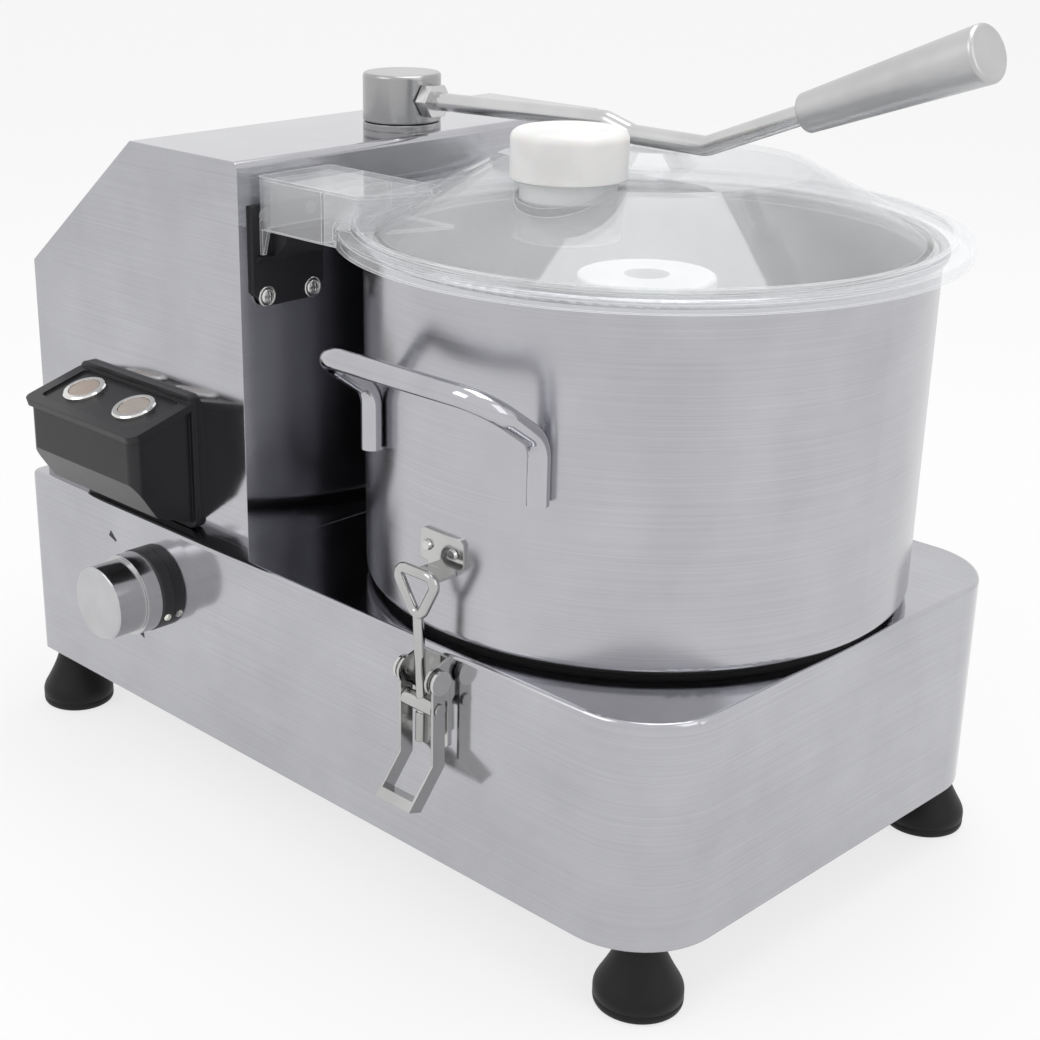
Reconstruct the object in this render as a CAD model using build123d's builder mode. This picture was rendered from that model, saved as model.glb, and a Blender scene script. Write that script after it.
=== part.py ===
"""Bench-top bowl cutter: bowl with S-blades, clear lid, hold-down arm, motor tower and base.

Frame: +X runs from the motor tower to the bowl, -Y is the control side, +Z is up.
All pieces are drawn from the middle of the base at floor level, then moved together
so that the origin is the bottom centre of the whole machine.
"""
import os
from math import atan2, cos, degrees, hypot, radians, sin, sqrt, tan

from build123d import *

# ---------------------------------------------------------------- driving dimensions (mm)
SHEET = 1.5                # stainless sheet
TOUCH_GAP = 0.3            # clearance between neighbouring bodies
RUNNING_FIT = 0.05         # radial clearance of turning shafts

# base
BASE_SIDE_MARGIN = 4.5     # bowl's rim to the base's long sides
BASE_HEIGHT = 132.5
BASE_NOSE_RADIUS = 50.0    # plan radius at the bowl end
BASE_TAIL_RADIUS = 8.0     # plan radius at the tower end
BASE_FOLD = 3.0            # bend radius round the top edge
VENT_LENGTH = 44.0
VENT_WIDTH = 4.0
VENT_PITCH = 11.0
VENT_COUNT = 8

# feet
FOOT_HEIGHT = 40.0
FOOT_RADIUS = 24.5
FOOT_NECK_RADIUS = 12.5
FOOT_NECK = 6.0            # straight neck under the base
FOOT_RIM = 9.0
FOOT_EDGE = 2.0
TAIL_FOOT_INSET_X = 20.0
TAIL_FOOT_INSET_Y = 15.0
NOSE_FOOT_INSET_X = 26.0
NOSE_FOOT_INSET_Y = 26.0
FOOT_SCREW_RADIUS = 3.0

# motor tower
TOWER_LENGTH = 221.0
TOWER_BELOW_LID = 5.5      # tower's top under the lid's disc
TOWER_TAIL_INSET = 1.0
TOWER_FRONT_INSET = 15.0
TOWER_REAR_INSET = 2.0
TOWER_SLOPE_RUN = 117.0
TOWER_SLOPE_RISE = 92.0
TOWER_FOLD = 4.0
REAR_PANEL_MARGIN = 12.0
LOUVRE_LENGTH = 90.0
LOUVRE_WIDTH = 4.0
LOUVRE_PITCH = 13.0
LOUVRE_COUNT = 7

# bowl
BOWL_AXIS_FROM_NOSE = 156.5
BOWL_TOP_RADIUS = 160.5
BOWL_BOTTOM_RADIUS = 159.5
BOWL_DEPTH = 200.2
BOWL_WALL = 1.5
BOWL_CORNER = 5.0
BOWL_BEAD = 2.5
BOWL_TUBE_BORE = 16.0
BOWL_TUBE_HEIGHT = 70.0
SEAT_HEIGHT = 4.0
SEAT_INSET = 9.5           # bowl's foot to the ring's outside
SEAT_WIDTH = 14.0

# bowl handles
HANDLE_ROD_RADIUS = 6.0
HANDLE_HALF_SPAN = 62.0
HANDLE_LEG_BOTTOM = 91.5   # above the bowl floor
HANDLE_LEG_TOP = 125.5
HANDLE_REACH = 38.0
HANDLE_RISE = 27.0
HANDLE_BEND = 18.0

# lid
LID_OVERHANG = 16.5        # beyond the bowl's wall
LID_TOWER_GAP = 3.0
LID_WALL = 3.0
LID_SKIRT = 7.5
LID_CONE_INSET = 21.0      # lid's edge to the foot of its cone
LID_CONE_RUN = 66.0
LID_DISC_RISE = 34.5
LID_STEP = 3.0             # raised step round the flange
LID_STEP_INSET = 9.0
LID_SPIGOT = 9.0
LID_BOSS_RADIUS = 27.0
LID_BOSS_FLAT = 16.0
LID_BOSS_HEIGHT = 7.5
GASKET_RADIUS = 2.0

# feed chute in the lid
CHUTE_OFFSET_X = 9.0
CHUTE_OFFSET_Y = -79.0
CHUTE_RADIUS = 28.5
CHUTE_WALL = 2.5
CHUTE_TOP = 2.5            # above the lid disc
CHUTE_BOTTOM = 28.5        # below the lid disc
CAP_RADIUS = 31.0
CAP_HEIGHT = 25.0
CAP_PLUG = 12.0
CAP_ROUND = 5.0
CAP_TRAVEL = 45.0

# interlock tab of the lid and its bracket
TAB_FRONT = 138.0          # from the machine's centre line
TAB_BACK = 82.0
TAB_LENGTH = 86.0
TAB_TOP = 14.0             # below the lid disc
TAB_HEIGHT = 31.0
TAB_WALL = 2.5
HOOK_DROP = 15.0
HOOK_LENGTH = 9.0
BRACKET_WIDTH = 54.0
BRACKET_HEIGHT = 60.0
BRACKET_BASE = 4.0
BRACKET_LEDGE = 16.0
BRACKET_LEDGE_HEIGHT = 22.0
BRACKET_SCREW_X = 35.0
BRACKET_SCREW_Z = 48.0
BRACKET_SCREW_HEAD = 4.2

# hold-down arm
POST_FROM_TOWER_FACE = 32.0
POST_Y = 9.0
POST_RADIUS = 12.0
POST_CAP_RADIUS = 24.75
POST_CAP_HEIGHT = 30.0
COLLAR_HEIGHT = 4.2
BUSH_WALL = 4.0
BUSH_DEPTH = 24.0
ARM_ROD_RADIUS = 5.5
ARM_ROD_ENTRY = 14.0       # above the cap's underside
ARM_CREST_RUN = 176.0
ARM_CREST_RISE = 6.0
ARM_FLAT_LENGTH = 30.0
ARM_FLAT_RUN = 38.0        # lid's middle to the start of the rise
ARM_LIFT_ANGLE = 21.0
ARM_ROD_LENGTH = 90.0      # rising part, from the flat to the end inside the grip
ARM_BEND = 16.0
NUT_WIDTH = 19.0
NUT_LENGTH = 9.0
GRIP_LENGTH = 107.0
GRIP_NECK_RADIUS = 10.5
GRIP_END_RADIUS = 14.5
GRIP_SOCKET = 20.0

# spindle and blades
SHAFT_RADIUS = 10.0
SHAFT_BOTTOM = 82.0
SHAFT_STUB = 60.0          # above the top of the bowl's tube
BEARING_RADIUS = 23.5
BEARING_WIDTH = 14.0
BEARING_SPACING = 28.0
BEARING_BORE_LIP = 5.0
HOUSING_FLANGE_RADIUS = 52.0
HOUSING_FLANGE = 5.0
HOUSING_WALL = 7.0
HUB_RADIUS = 24.0
HUB_TOP_RADIUS = 39.5
HUB_TOP_THICKNESS = 8.0
HUB_HEIGHT = 172.5
HUB_EYE_RADIUS = 13.0
BLADE_TIP_GAP = 11.0       # to the inside of the bowl's foot
BLADE_THICKNESS = 2.5
BLADE_ROOT = 36.0
BLADE_LOW = 9.0            # above the bowl floor
BLADE_HIGH = 40.0
BLADE_DEPTH = 34.0

# motor and belt drive
MOTOR_FROM_TOWER_FACE = 106.0
MOTOR_RADIUS = 66.0
MOTOR_LENGTH = 138.0
MOTOR_FIN_COUNT = 24
MOTOR_FIN_DEPTH = 4.0
MOTOR_CAP = 16.0
MOTOR_PLATE = 5.0
MOTOR_PLATE_MARGIN = 14.0
MOTOR_SHAFT_RADIUS = 8.0
MOTOR_PULLEY_RADIUS = 22.0
SPINDLE_PULLEY_RADIUS = 44.0
PULLEY_WIDTH = 18.0
PULLEY_FLANGE = 2.5
PULLEY_BOTTOM = 88.0
BELT_THICKNESS = 4.0
BELT_WIDTH = 12.0
BOLT_RADIUS = 3.0
BOLT_HEAD_RADIUS = 5.0
BOLT_HEAD = 4.0

# push-button box on the tower
BOX_LENGTH = 114.0
BOX_FROM_TOWER_FACE = 50.0
BOX_DEPTH = 47.0
BOX_TOP = 84.5             # back edge of the top, above the base
BOX_TOP_FALL = 13.0
BOX_FRONT_HEIGHT = 33.0
BOX_SLANT_RUN = 16.0
BOX_SLANT_FALL = 24.0
BOX_BOTTOM_FALL = 11.0
BOX_WALL = 3.0
BOX_LIP = 3.0
BOX_LIP_HEIGHT = 4.5
BOX_FLANGE = 4.0
BOX_CORNER = 7.0
BUTTON_SPACING = 54.0
BEZEL_RADIUS = 14.5
BEZEL_HEIGHT = 3.0
BUTTON_RADIUS = 10.5
BUTTON_TRAVEL = 3.0
CONTACT_SIDE = 20.0
CONTACT_DEPTH = 24.0

# speed dial on the base
DIAL_FROM_TAIL = 137.0
DIAL_HEIGHT = 86.0         # above the base's lower edge
DIAL_PLATE_RADIUS = 27.0
DIAL_PLATE = 9.0
DIAL_SKIRT_RADIUS = 26.5
DIAL_SKIRT = 11.0
DIAL_CAP_RADIUS = 24.0
DIAL_CAP = 20.5
DIAL_SHAFT_RADIUS = 3.0
POT_RADIUS = 14.0
POT_DEPTH = 16.0

# bowl latches
LATCH_WIDTH = 27.0
LATCH_SHEET = 1.6
LATCH_PIVOT_OUT = 10.0     # from the base front
LATCH_PIVOT_DOWN = 14.0    # from the base top
LATCH_THROW = 16.5         # pivot to barrel
LATCH_PLATE_HEIGHT = 54.0
LATCH_EAR_RADIUS = 8.0
LEVER_STRAIGHT = 52.0      # pivot to the bend
LEVER_DEPTH = 9.0
LEVER_TIP_RUN = 18.0
LEVER_TIP_FALL = 22.0
LEVER_LIP = 4.0            # cross lip between the tips
BARREL_RADIUS = 4.8
TRUNNION_RADIUS = 2.4
HOOK_ROD_RADIUS = 3.0
HOOK_LAP = 6.0             # stem run into the loop's apex
HOOK_HALF_WIDTH = 17.0
HOOK_APEX = 29.0           # loop bar to apex
HOOK_TAIL = 24.0           # rod below the barrel
HOOK_CORNER = 5.0
KEEPER_HALF_WIDTH = 16.5
KEEPER_TONGUE = 10.0       # half width
KEEPER_DROP = 4.0          # plate's lower edge under the loop bar's top
KEEPER_CORNER = 4.0
KEEPER_LOOP_GAP = 5.8      # plate to loop bar
KEEPER_RIVET_X = 9.7
KEEPER_SHEET = 2.0
KEEPER_HEIGHT = 18.0
KEEPER_FLOOR = 43.5        # loop bar above the bowl floor
RIVET_RADIUS = 3.3
RIVET_HEIGHT = 1.8
PIVOT_HEAD_RADIUS = 7.0
TRUNNION_HEAD_RADIUS = 3.6
TRUNNION_HEAD = 1.2

# ---------------------------------------------------------------- derived places
lid_radius = BOWL_TOP_RADIUS + LID_OVERHANG
lid_cone_foot = lid_radius - LID_CONE_INSET
lid_disc_radius = lid_cone_foot - LID_CONE_RUN
lid_step_radius = lid_radius - LID_STEP_INSET
bowl_wide_radius = max(BOWL_TOP_RADIUS, BOWL_BOTTOM_RADIUS)
base_length = TOWER_TAIL_INSET + TOWER_LENGTH + LID_TOWER_GAP + lid_radius + BOWL_AXIS_FROM_NOSE
base_width = 2 * (bowl_wide_radius + BASE_SIDE_MARGIN)
base_bottom = FOOT_HEIGHT
base_top = base_bottom + BASE_HEIGHT
nose_x = base_length / 2
tail_x = -nose_x
front_y = -base_width / 2
bowl_x = nose_x - BOWL_AXIS_FROM_NOSE
tower_tail_x = tail_x + TOWER_TAIL_INSET
tower_face_x = tower_tail_x + TOWER_LENGTH
tower_front_y = front_y + TOWER_FRONT_INSET
tower_rear_y = -front_y - TOWER_REAR_INSET
motor_x = tower_face_x - MOTOR_FROM_TOWER_FACE
bowl_floor = base_top + SEAT_HEIGHT
bowl_top = bowl_floor + BOWL_DEPTH
lid_flange_bottom = bowl_top + TOUCH_GAP
lid_flange_top = lid_flange_bottom + LID_WALL
lid_disc_top = lid_flange_top + LID_DISC_RISE
tower_top = lid_disc_top - TOWER_BELOW_LID
chute_top = lid_disc_top + CHUTE_TOP
boss_top = lid_disc_top + LID_BOSS_HEIGHT
chute_x = bowl_x + CHUTE_OFFSET_X
chute_y = CHUTE_OFFSET_Y
tab_left_x = bowl_x - lid_radius
tab_top = lid_disc_top - TAB_TOP
tab_bottom = tab_top - TAB_HEIGHT
post_x = tower_face_x - POST_FROM_TOWER_FACE
cap_bottom = tower_top + COLLAR_HEIGHT + TOUCH_GAP
arm_angle = degrees(atan2(-POST_Y, bowl_x - post_x))
latch_pivot_y = front_y - LATCH_PIVOT_OUT
latch_pivot_z = base_top - LATCH_PIVOT_DOWN
barrel_z = latch_pivot_z - LATCH_THROW
dial_x = tail_x + DIAL_FROM_TAIL
dial_z = base_bottom + DIAL_HEIGHT
seat_radius = BOWL_BOTTOM_RADIUS - SEAT_INSET
blade_radius = BOWL_BOTTOM_RADIUS - BOWL_WALL - BLADE_TIP_GAP


def bowl_radius_at(height):
    """Outer radius of the bowl's wall at a height above its floor."""
    return BOWL_BOTTOM_RADIUS + (BOWL_TOP_RADIUS - BOWL_BOTTOM_RADIUS) * height / BOWL_DEPTH


# ---------------------------------------------------------------- base
def base_outline(inset=0.0):
    """Plan of the base: large corners at the bowl end, small ones at the tower end."""
    with BuildSketch() as outline:
        Rectangle(base_length - 2 * inset, base_width - 2 * inset)
        fillet(outline.vertices().group_by(Axis.X)[-1], BASE_NOSE_RADIUS - inset)
        fillet(outline.vertices().group_by(Axis.X)[0], BASE_TAIL_RADIUS - inset)
    return outline.sketch


with BuildPart() as base_housing:
    with BuildSketch(Plane.XY.offset(base_bottom)):
        add(base_outline())
    extrude(amount=BASE_HEIGHT)
    fillet(base_housing.edges().group_by(Axis.Z)[-1], BASE_FOLD)
    offset(amount=-SHEET, openings=base_housing.faces().sort_by(Axis.Z)[0])
    with Locations((bowl_x, 0, base_top)):
        Hole(BEARING_RADIUS + RUNNING_FIT, depth=2 * BASE_FOLD)
    with Locations((motor_x, 0, base_top)):
        Hole(MOTOR_PULLEY_RADIUS + 2 * BELT_THICKNESS, depth=2 * BASE_FOLD)
    with Locations(Plane.XZ.offset(-front_y)):
        with Locations((dial_x, dial_z)):
            Hole(DIAL_SHAFT_RADIUS + RUNNING_FIT, depth=2 * SHEET)

foot_places = [
    (x, side * (front_y + inset_y))
    for side in (1, -1)
    for x, inset_y in (
        (tail_x + TAIL_FOOT_INSET_X, TAIL_FOOT_INSET_Y),
        (nose_x - NOSE_FOOT_INSET_X, NOSE_FOOT_INSET_Y),
    )
]

with BuildPart() as base_plate:
    with BuildSketch(Plane.XY.offset(base_bottom)):
        add(base_outline(SHEET + TOUCH_GAP))
    extrude(amount=SHEET)
    with BuildSketch(Plane.XY.offset(base_bottom)):
        with GridLocations(VENT_PITCH, 0, VENT_COUNT, 1):
            SlotOverall(VENT_LENGTH, VENT_WIDTH, rotation=90)
    extrude(amount=SHEET, mode=Mode.SUBTRACT)
    with Locations(*[(x, y, base_bottom + SHEET) for x, y in foot_places]):
        Hole(FOOT_SCREW_RADIUS, depth=SHEET)


def foot_profile():
    """Bell-shaped rubber foot, half section about its own axis."""
    with BuildSketch(Plane.XZ) as section:
        with BuildLine():
            rim = Polyline(
                (0, 0),
                (FOOT_RADIUS - FOOT_EDGE, 0),
                (FOOT_RADIUS, FOOT_EDGE),
                (FOOT_RADIUS, FOOT_RIM),
            )
            neck = (FOOT_NECK_RADIUS, FOOT_HEIGHT - FOOT_NECK)
            Spline(rim @ 1, neck, tangents=[(0, 1), (0, 1)])
            Polyline(neck, (FOOT_NECK_RADIUS, FOOT_HEIGHT), (0, FOOT_HEIGHT), (0, 0))
        make_face()
    return section.sketch


feet = {}
foot_names = ("foot_front_tail", "foot_front_nose", "foot_rear_tail", "foot_rear_nose")
for foot_name, (foot_x, foot_y) in zip(foot_names, foot_places):
    with BuildPart() as foot:
        add(revolve(foot_profile(), Axis.Z, mode=Mode.PRIVATE).moved(Location((foot_x, foot_y, 0))))
        with Locations((foot_x, foot_y, FOOT_HEIGHT)):
            Hole(FOOT_SCREW_RADIUS, depth=FOOT_HEIGHT - FOOT_RIM)
    feet[foot_name] = foot

with BuildPart() as foot_screws:
    with Locations(*[(x, y, FOOT_RIM + 3) for x, y in foot_places]):
        Cylinder(
            FOOT_SCREW_RADIUS,
            FOOT_HEIGHT + SHEET - FOOT_RIM - 3,
            align=(Align.CENTER, Align.CENTER, Align.MIN),
        )
    with Locations(*[(x, y, base_bottom + SHEET) for x, y in foot_places]):
        Cylinder(BOLT_HEAD_RADIUS, BOLT_HEAD, align=(Align.CENTER, Align.CENTER, Align.MIN))

with BuildPart() as seat_ring:
    with BuildSketch(Plane.XY.offset(base_top)):
        with Locations((bowl_x, 0)):
            Circle(seat_radius)
            Circle(seat_radius - SEAT_WIDTH, mode=Mode.SUBTRACT)
    extrude(amount=SEAT_HEIGHT)

# ---------------------------------------------------------------- motor tower
with BuildPart() as motor_housing:
    with BuildSketch(Plane.XZ.offset(-tower_front_y)):
        with BuildLine():
            Polyline(
                (tower_tail_x, base_top),
                (tower_face_x, base_top),
                (tower_face_x, tower_top),
                (tower_tail_x + TOWER_SLOPE_RUN, tower_top),
                (tower_tail_x, tower_top - TOWER_SLOPE_RISE),
                close=True,
            )
        make_face()
    extrude(amount=-(tower_rear_y - tower_front_y))
    face_edge = motor_housing.edges().filter_by(Axis.Y).group_by(Axis.Z)[-1].sort_by(Axis.X)[-1]
    fillet(face_edge, TOWER_FOLD)
    offset(amount=-SHEET, openings=motor_housing.faces().sort_by(Axis.Z)[0])
    with Locations((post_x, POST_Y, tower_top)):
        Hole(POST_RADIUS + BUSH_WALL, depth=2 * TOWER_FOLD)
    rear_width = TOWER_LENGTH - 2 * REAR_PANEL_MARGIN
    rear_height = tower_top - base_top - TOWER_SLOPE_RISE - 2 * REAR_PANEL_MARGIN
    rear_mid = (tower_tail_x + TOWER_LENGTH / 2, base_top + REAR_PANEL_MARGIN + rear_height / 2)
    with BuildSketch(Plane.XZ.offset(-tower_rear_y)):
        with Locations(rear_mid):
            Rectangle(rear_width - 2 * REAR_PANEL_MARGIN, rear_height - 2 * REAR_PANEL_MARGIN)
    extrude(amount=2 * SHEET, both=True, mode=Mode.SUBTRACT)

with BuildPart() as rear_panel:
    with BuildSketch(Plane.XZ.offset(-tower_rear_y)):
        with Locations(rear_mid):
            RectangleRounded(rear_width, rear_height, BASE_TAIL_RADIUS)
    extrude(amount=-SHEET)
    with BuildSketch(Plane.XZ.offset(-tower_rear_y)):
        with Locations(rear_mid):
            with GridLocations(0, LOUVRE_PITCH, 1, LOUVRE_COUNT):
                SlotOverall(LOUVRE_LENGTH, LOUVRE_WIDTH)
    extrude(amount=-SHEET, mode=Mode.SUBTRACT)

# ---------------------------------------------------------------- motor
plate_half = MOTOR_RADIUS + MOTOR_PLATE_MARGIN
bolt_half = plate_half - 2 * BOLT_HEAD_RADIUS
motor_bottom = base_top + MOTOR_PLATE

with BuildPart() as motor_mount:
    with BuildSketch(Plane.XY.offset(base_top)):
        with Locations((motor_x, 0)):
            RectangleRounded(2 * plate_half, 2 * plate_half, BASE_TAIL_RADIUS)
            Circle(MOTOR_PULLEY_RADIUS + 2 * BELT_THICKNESS, mode=Mode.SUBTRACT)
            with GridLocations(2 * bolt_half, 2 * bolt_half, 2, 2):
                Circle(BOLT_RADIUS, mode=Mode.SUBTRACT)
    extrude(amount=MOTOR_PLATE)

with BuildPart() as motor_body:
    with BuildSketch(Plane.XY.offset(motor_bottom)):
        with Locations((motor_x, 0)):
            Circle(MOTOR_RADIUS - MOTOR_FIN_DEPTH)
            with PolarLocations(MOTOR_RADIUS - MOTOR_FIN_DEPTH, MOTOR_FIN_COUNT):
                Rectangle(2 * MOTOR_FIN_DEPTH, MOTOR_FIN_DEPTH)
            Circle(MOTOR_SHAFT_RADIUS + RUNNING_FIT, mode=Mode.SUBTRACT)
    extrude(amount=MOTOR_LENGTH)
    with BuildSketch(Plane.XY.offset(motor_bottom + MOTOR_LENGTH)):
        with Locations((motor_x, 0)):
            Circle(MOTOR_RADIUS)
    extrude(amount=MOTOR_CAP)
    fillet(motor_body.edges().group_by(Axis.Z)[-1], BASE_TAIL_RADIUS)

with BuildPart() as motor_shaft:
    with BuildSketch(Plane.XY.offset(PULLEY_BOTTOM - PULLEY_FLANGE)):
        with Locations((motor_x, 0)):
            Circle(MOTOR_SHAFT_RADIUS)
    extrude(amount=motor_bottom + MOTOR_LENGTH / 2 - PULLEY_BOTTOM + PULLEY_FLANGE)


def pulley(axis_x, radius, bore):
    """Flat pulley with a rim flange at each side, bored for its shaft."""
    with BuildPart() as wheel:
        with BuildSketch(Plane.XY.offset(PULLEY_BOTTOM)):
            with Locations((axis_x, 0)):
                Circle(radius)
        extrude(amount=PULLEY_WIDTH)
        for level in (PULLEY_BOTTOM, PULLEY_BOTTOM + PULLEY_WIDTH - PULLEY_FLANGE):
            with BuildSketch(Plane.XY.offset(level)):
                with Locations((axis_x, 0)):
                    Circle(radius + BELT_THICKNESS)
            extrude(amount=PULLEY_FLANGE)
        with Locations((axis_x, 0, PULLEY_BOTTOM + PULLEY_WIDTH)):
            Hole(bore, depth=PULLEY_WIDTH)
    return wheel


motor_pulley = pulley(motor_x, MOTOR_PULLEY_RADIUS, MOTOR_SHAFT_RADIUS)
driven_pulley = pulley(bowl_x, SPINDLE_PULLEY_RADIUS, SHAFT_RADIUS)

with BuildPart() as belt:
    belt_bottom = PULLEY_BOTTOM + (PULLEY_WIDTH - BELT_WIDTH) / 2
    with BuildSketch(Plane.XY.offset(belt_bottom)) as belt_loop:
        with Locations((motor_x, 0)):
            Circle(MOTOR_PULLEY_RADIUS + TOUCH_GAP)
        with Locations((bowl_x, 0)):
            Circle(SPINDLE_PULLEY_RADIUS + TOUCH_GAP)
        make_hull()
        offset(amount=BELT_THICKNESS - TOUCH_GAP)
        with Locations((motor_x, 0)):
            Circle(MOTOR_PULLEY_RADIUS + TOUCH_GAP, mode=Mode.SUBTRACT)
        with Locations((bowl_x, 0)):
            Circle(SPINDLE_PULLEY_RADIUS + TOUCH_GAP, mode=Mode.SUBTRACT)
    extrude(amount=BELT_WIDTH)

# ---------------------------------------------------------------- spindle
bearing_top = base_top - SHEET - HOUSING_FLANGE
upper_bearing_bottom = bearing_top - BEARING_WIDTH
lower_bearing_bottom = upper_bearing_bottom - BEARING_SPACING
housing_bottom = lower_bearing_bottom - BEARING_BORE_LIP

with BuildPart() as bearing_housing:
    with BuildSketch(Plane.XY.offset(base_top - SHEET - HOUSING_FLANGE)):
        with Locations((bowl_x, 0)):
            Circle(HOUSING_FLANGE_RADIUS)
            with PolarLocations(HOUSING_FLANGE_RADIUS - 2 * BOLT_HEAD_RADIUS, 4, 45):
                Circle(BOLT_RADIUS, mode=Mode.SUBTRACT)
    extrude(amount=HOUSING_FLANGE)
    with BuildSketch(Plane.XY.offset(housing_bottom)):
        with Locations((bowl_x, 0)):
            Circle(BEARING_RADIUS + HOUSING_WALL)
    extrude(amount=base_top - SHEET - housing_bottom)
    with Locations((bowl_x, 0, base_top - SHEET)):
        CounterBoreHole(
            SHAFT_RADIUS + BEARING_BORE_LIP,
            BEARING_RADIUS,
            base_top - SHEET - lower_bearing_bottom,
            depth=base_top - SHEET - housing_bottom,
        )


def bearing(bottom):
    """Sealed ball bearing with a groove each side between its races."""
    with BuildPart() as race:
        with BuildSketch(Plane.XY.offset(bottom)):
            with Locations((bowl_x, 0)):
                Circle(BEARING_RADIUS)
                Circle(SHAFT_RADIUS + RUNNING_FIT, mode=Mode.SUBTRACT)
        extrude(amount=BEARING_WIDTH)
        for face in (race.faces().sort_by(Axis.Z)[0], race.faces().sort_by(Axis.Z)[-1]):
            with BuildSketch(face):
                Circle((BEARING_RADIUS + SHAFT_RADIUS) / 2 + 3)
                Circle((BEARING_RADIUS + SHAFT_RADIUS) / 2 - 3, mode=Mode.SUBTRACT)
            extrude(amount=-0.8, mode=Mode.SUBTRACT)
    return race


bearing_upper = bearing(upper_bearing_bottom)
bearing_lower = bearing(lower_bearing_bottom)

with BuildPart() as shaft_seal:
    with BuildSketch(Plane.XY.offset(bearing_top)):
        with Locations((bowl_x, 0)):
            Circle(BEARING_RADIUS)
            Circle(SHAFT_RADIUS + RUNNING_FIT, mode=Mode.SUBTRACT)
    extrude(amount=HOUSING_FLANGE + SHEET)

with BuildPart() as frame_bolts:
    flange_bolts = [
        (
            bowl_x + (HOUSING_FLANGE_RADIUS - 2 * BOLT_HEAD_RADIUS) * cos(radians(45 + 90 * i)),
            (HOUSING_FLANGE_RADIUS - 2 * BOLT_HEAD_RADIUS) * sin(radians(45 + 90 * i)),
        )
        for i in range(4)
    ]
    with Locations(*[(x, y, base_top - SHEET) for x, y in flange_bolts]):
        Cylinder(BOLT_RADIUS, HOUSING_FLANGE, align=(Align.CENTER, Align.CENTER, Align.MAX))
    with Locations(*[(x, y, base_top - SHEET - HOUSING_FLANGE) for x, y in flange_bolts]):
        Cylinder(BOLT_HEAD_RADIUS, BOLT_HEAD, align=(Align.CENTER, Align.CENTER, Align.MAX))
    with Locations((motor_x, 0, base_top)):
        with GridLocations(2 * bolt_half, 2 * bolt_half, 2, 2):
            Cylinder(BOLT_RADIUS, MOTOR_PLATE, align=(Align.CENTER, Align.CENTER, Align.MIN))
    with Locations((motor_x, 0, motor_bottom)):
        with GridLocations(2 * bolt_half, 2 * bolt_half, 2, 2):
            Cylinder(BOLT_HEAD_RADIUS, BOLT_HEAD, align=(Align.CENTER, Align.CENTER, Align.MIN))

tube_top = bowl_floor + BOWL_TUBE_HEIGHT
shaft_top = tube_top + SHAFT_STUB
hub_bottom = bowl_floor + BOWL_WALL + TOUCH_GAP + 1
hub_top = hub_bottom + HUB_HEIGHT

with BuildPart() as drive_shaft:
    with BuildSketch(Plane.XY.offset(SHAFT_BOTTOM)):
        with Locations((bowl_x, 0)):
            Circle(SHAFT_RADIUS)
    extrude(amount=shaft_top - SHAFT_BOTTOM)
    chamfer(drive_shaft.edges().group_by(Axis.Z)[-1], 1.5)

with BuildPart() as blade_hub:
    with BuildSketch(Plane.XY.offset(hub_bottom)):
        with Locations((bowl_x, 0)):
            Circle(HUB_RADIUS)
    extrude(amount=HUB_HEIGHT)
    with BuildSketch(Plane.XY.offset(hub_top - HUB_TOP_THICKNESS)):
        with Locations((bowl_x, 0)):
            Circle(HUB_TOP_RADIUS)
    extrude(amount=HUB_TOP_THICKNESS)
    fillet(blade_hub.edges().group_by(Axis.Z)[-1], 2)
    with Locations((bowl_x, 0, hub_top)):
        CounterBoreHole(SHAFT_RADIUS, HUB_EYE_RADIUS, hub_top - shaft_top, depth=HUB_HEIGHT)
    with BuildSketch(Plane.XY.offset(hub_bottom)):
        with Locations((bowl_x, 0)):
            Circle(BOWL_TUBE_BORE + BOWL_WALL + 1)
    extrude(amount=tube_top + 2 - hub_bottom, mode=Mode.SUBTRACT)


def blade_outline(turn):
    """S-shaped blade: an eye round the hub and a sickle that sweeps out to each side."""
    tip = blade_radius
    root = BLADE_ROOT
    with BuildSketch() as outline:
        for flip in (0, 180):
            with BuildSketch(mode=Mode.PRIVATE) as wing:
                with BuildLine():
                    back = ThreePointArc((0, root), (tip * 0.62, root * 1.1), (tip, 0))
                    edge = ThreePointArc((tip, 0), (tip * 0.66, root * 0.15), (root * 0.55, -root * 0.6))
                    Line(edge @ 1, back @ 0)
                make_face()
            add(wing.sketch, rotation=flip + turn)
        Circle(root)
        Circle(HUB_RADIUS, mode=Mode.SUBTRACT)
    return outline.sketch


with BuildPart() as blades:
    for level, turn in ((BLADE_LOW, 25), (BLADE_HIGH, 115)):
        with BuildSketch(Plane((bowl_x, 0, bowl_floor + level))):
            add(blade_outline(turn))
        extrude(amount=BLADE_THICKNESS)

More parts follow.
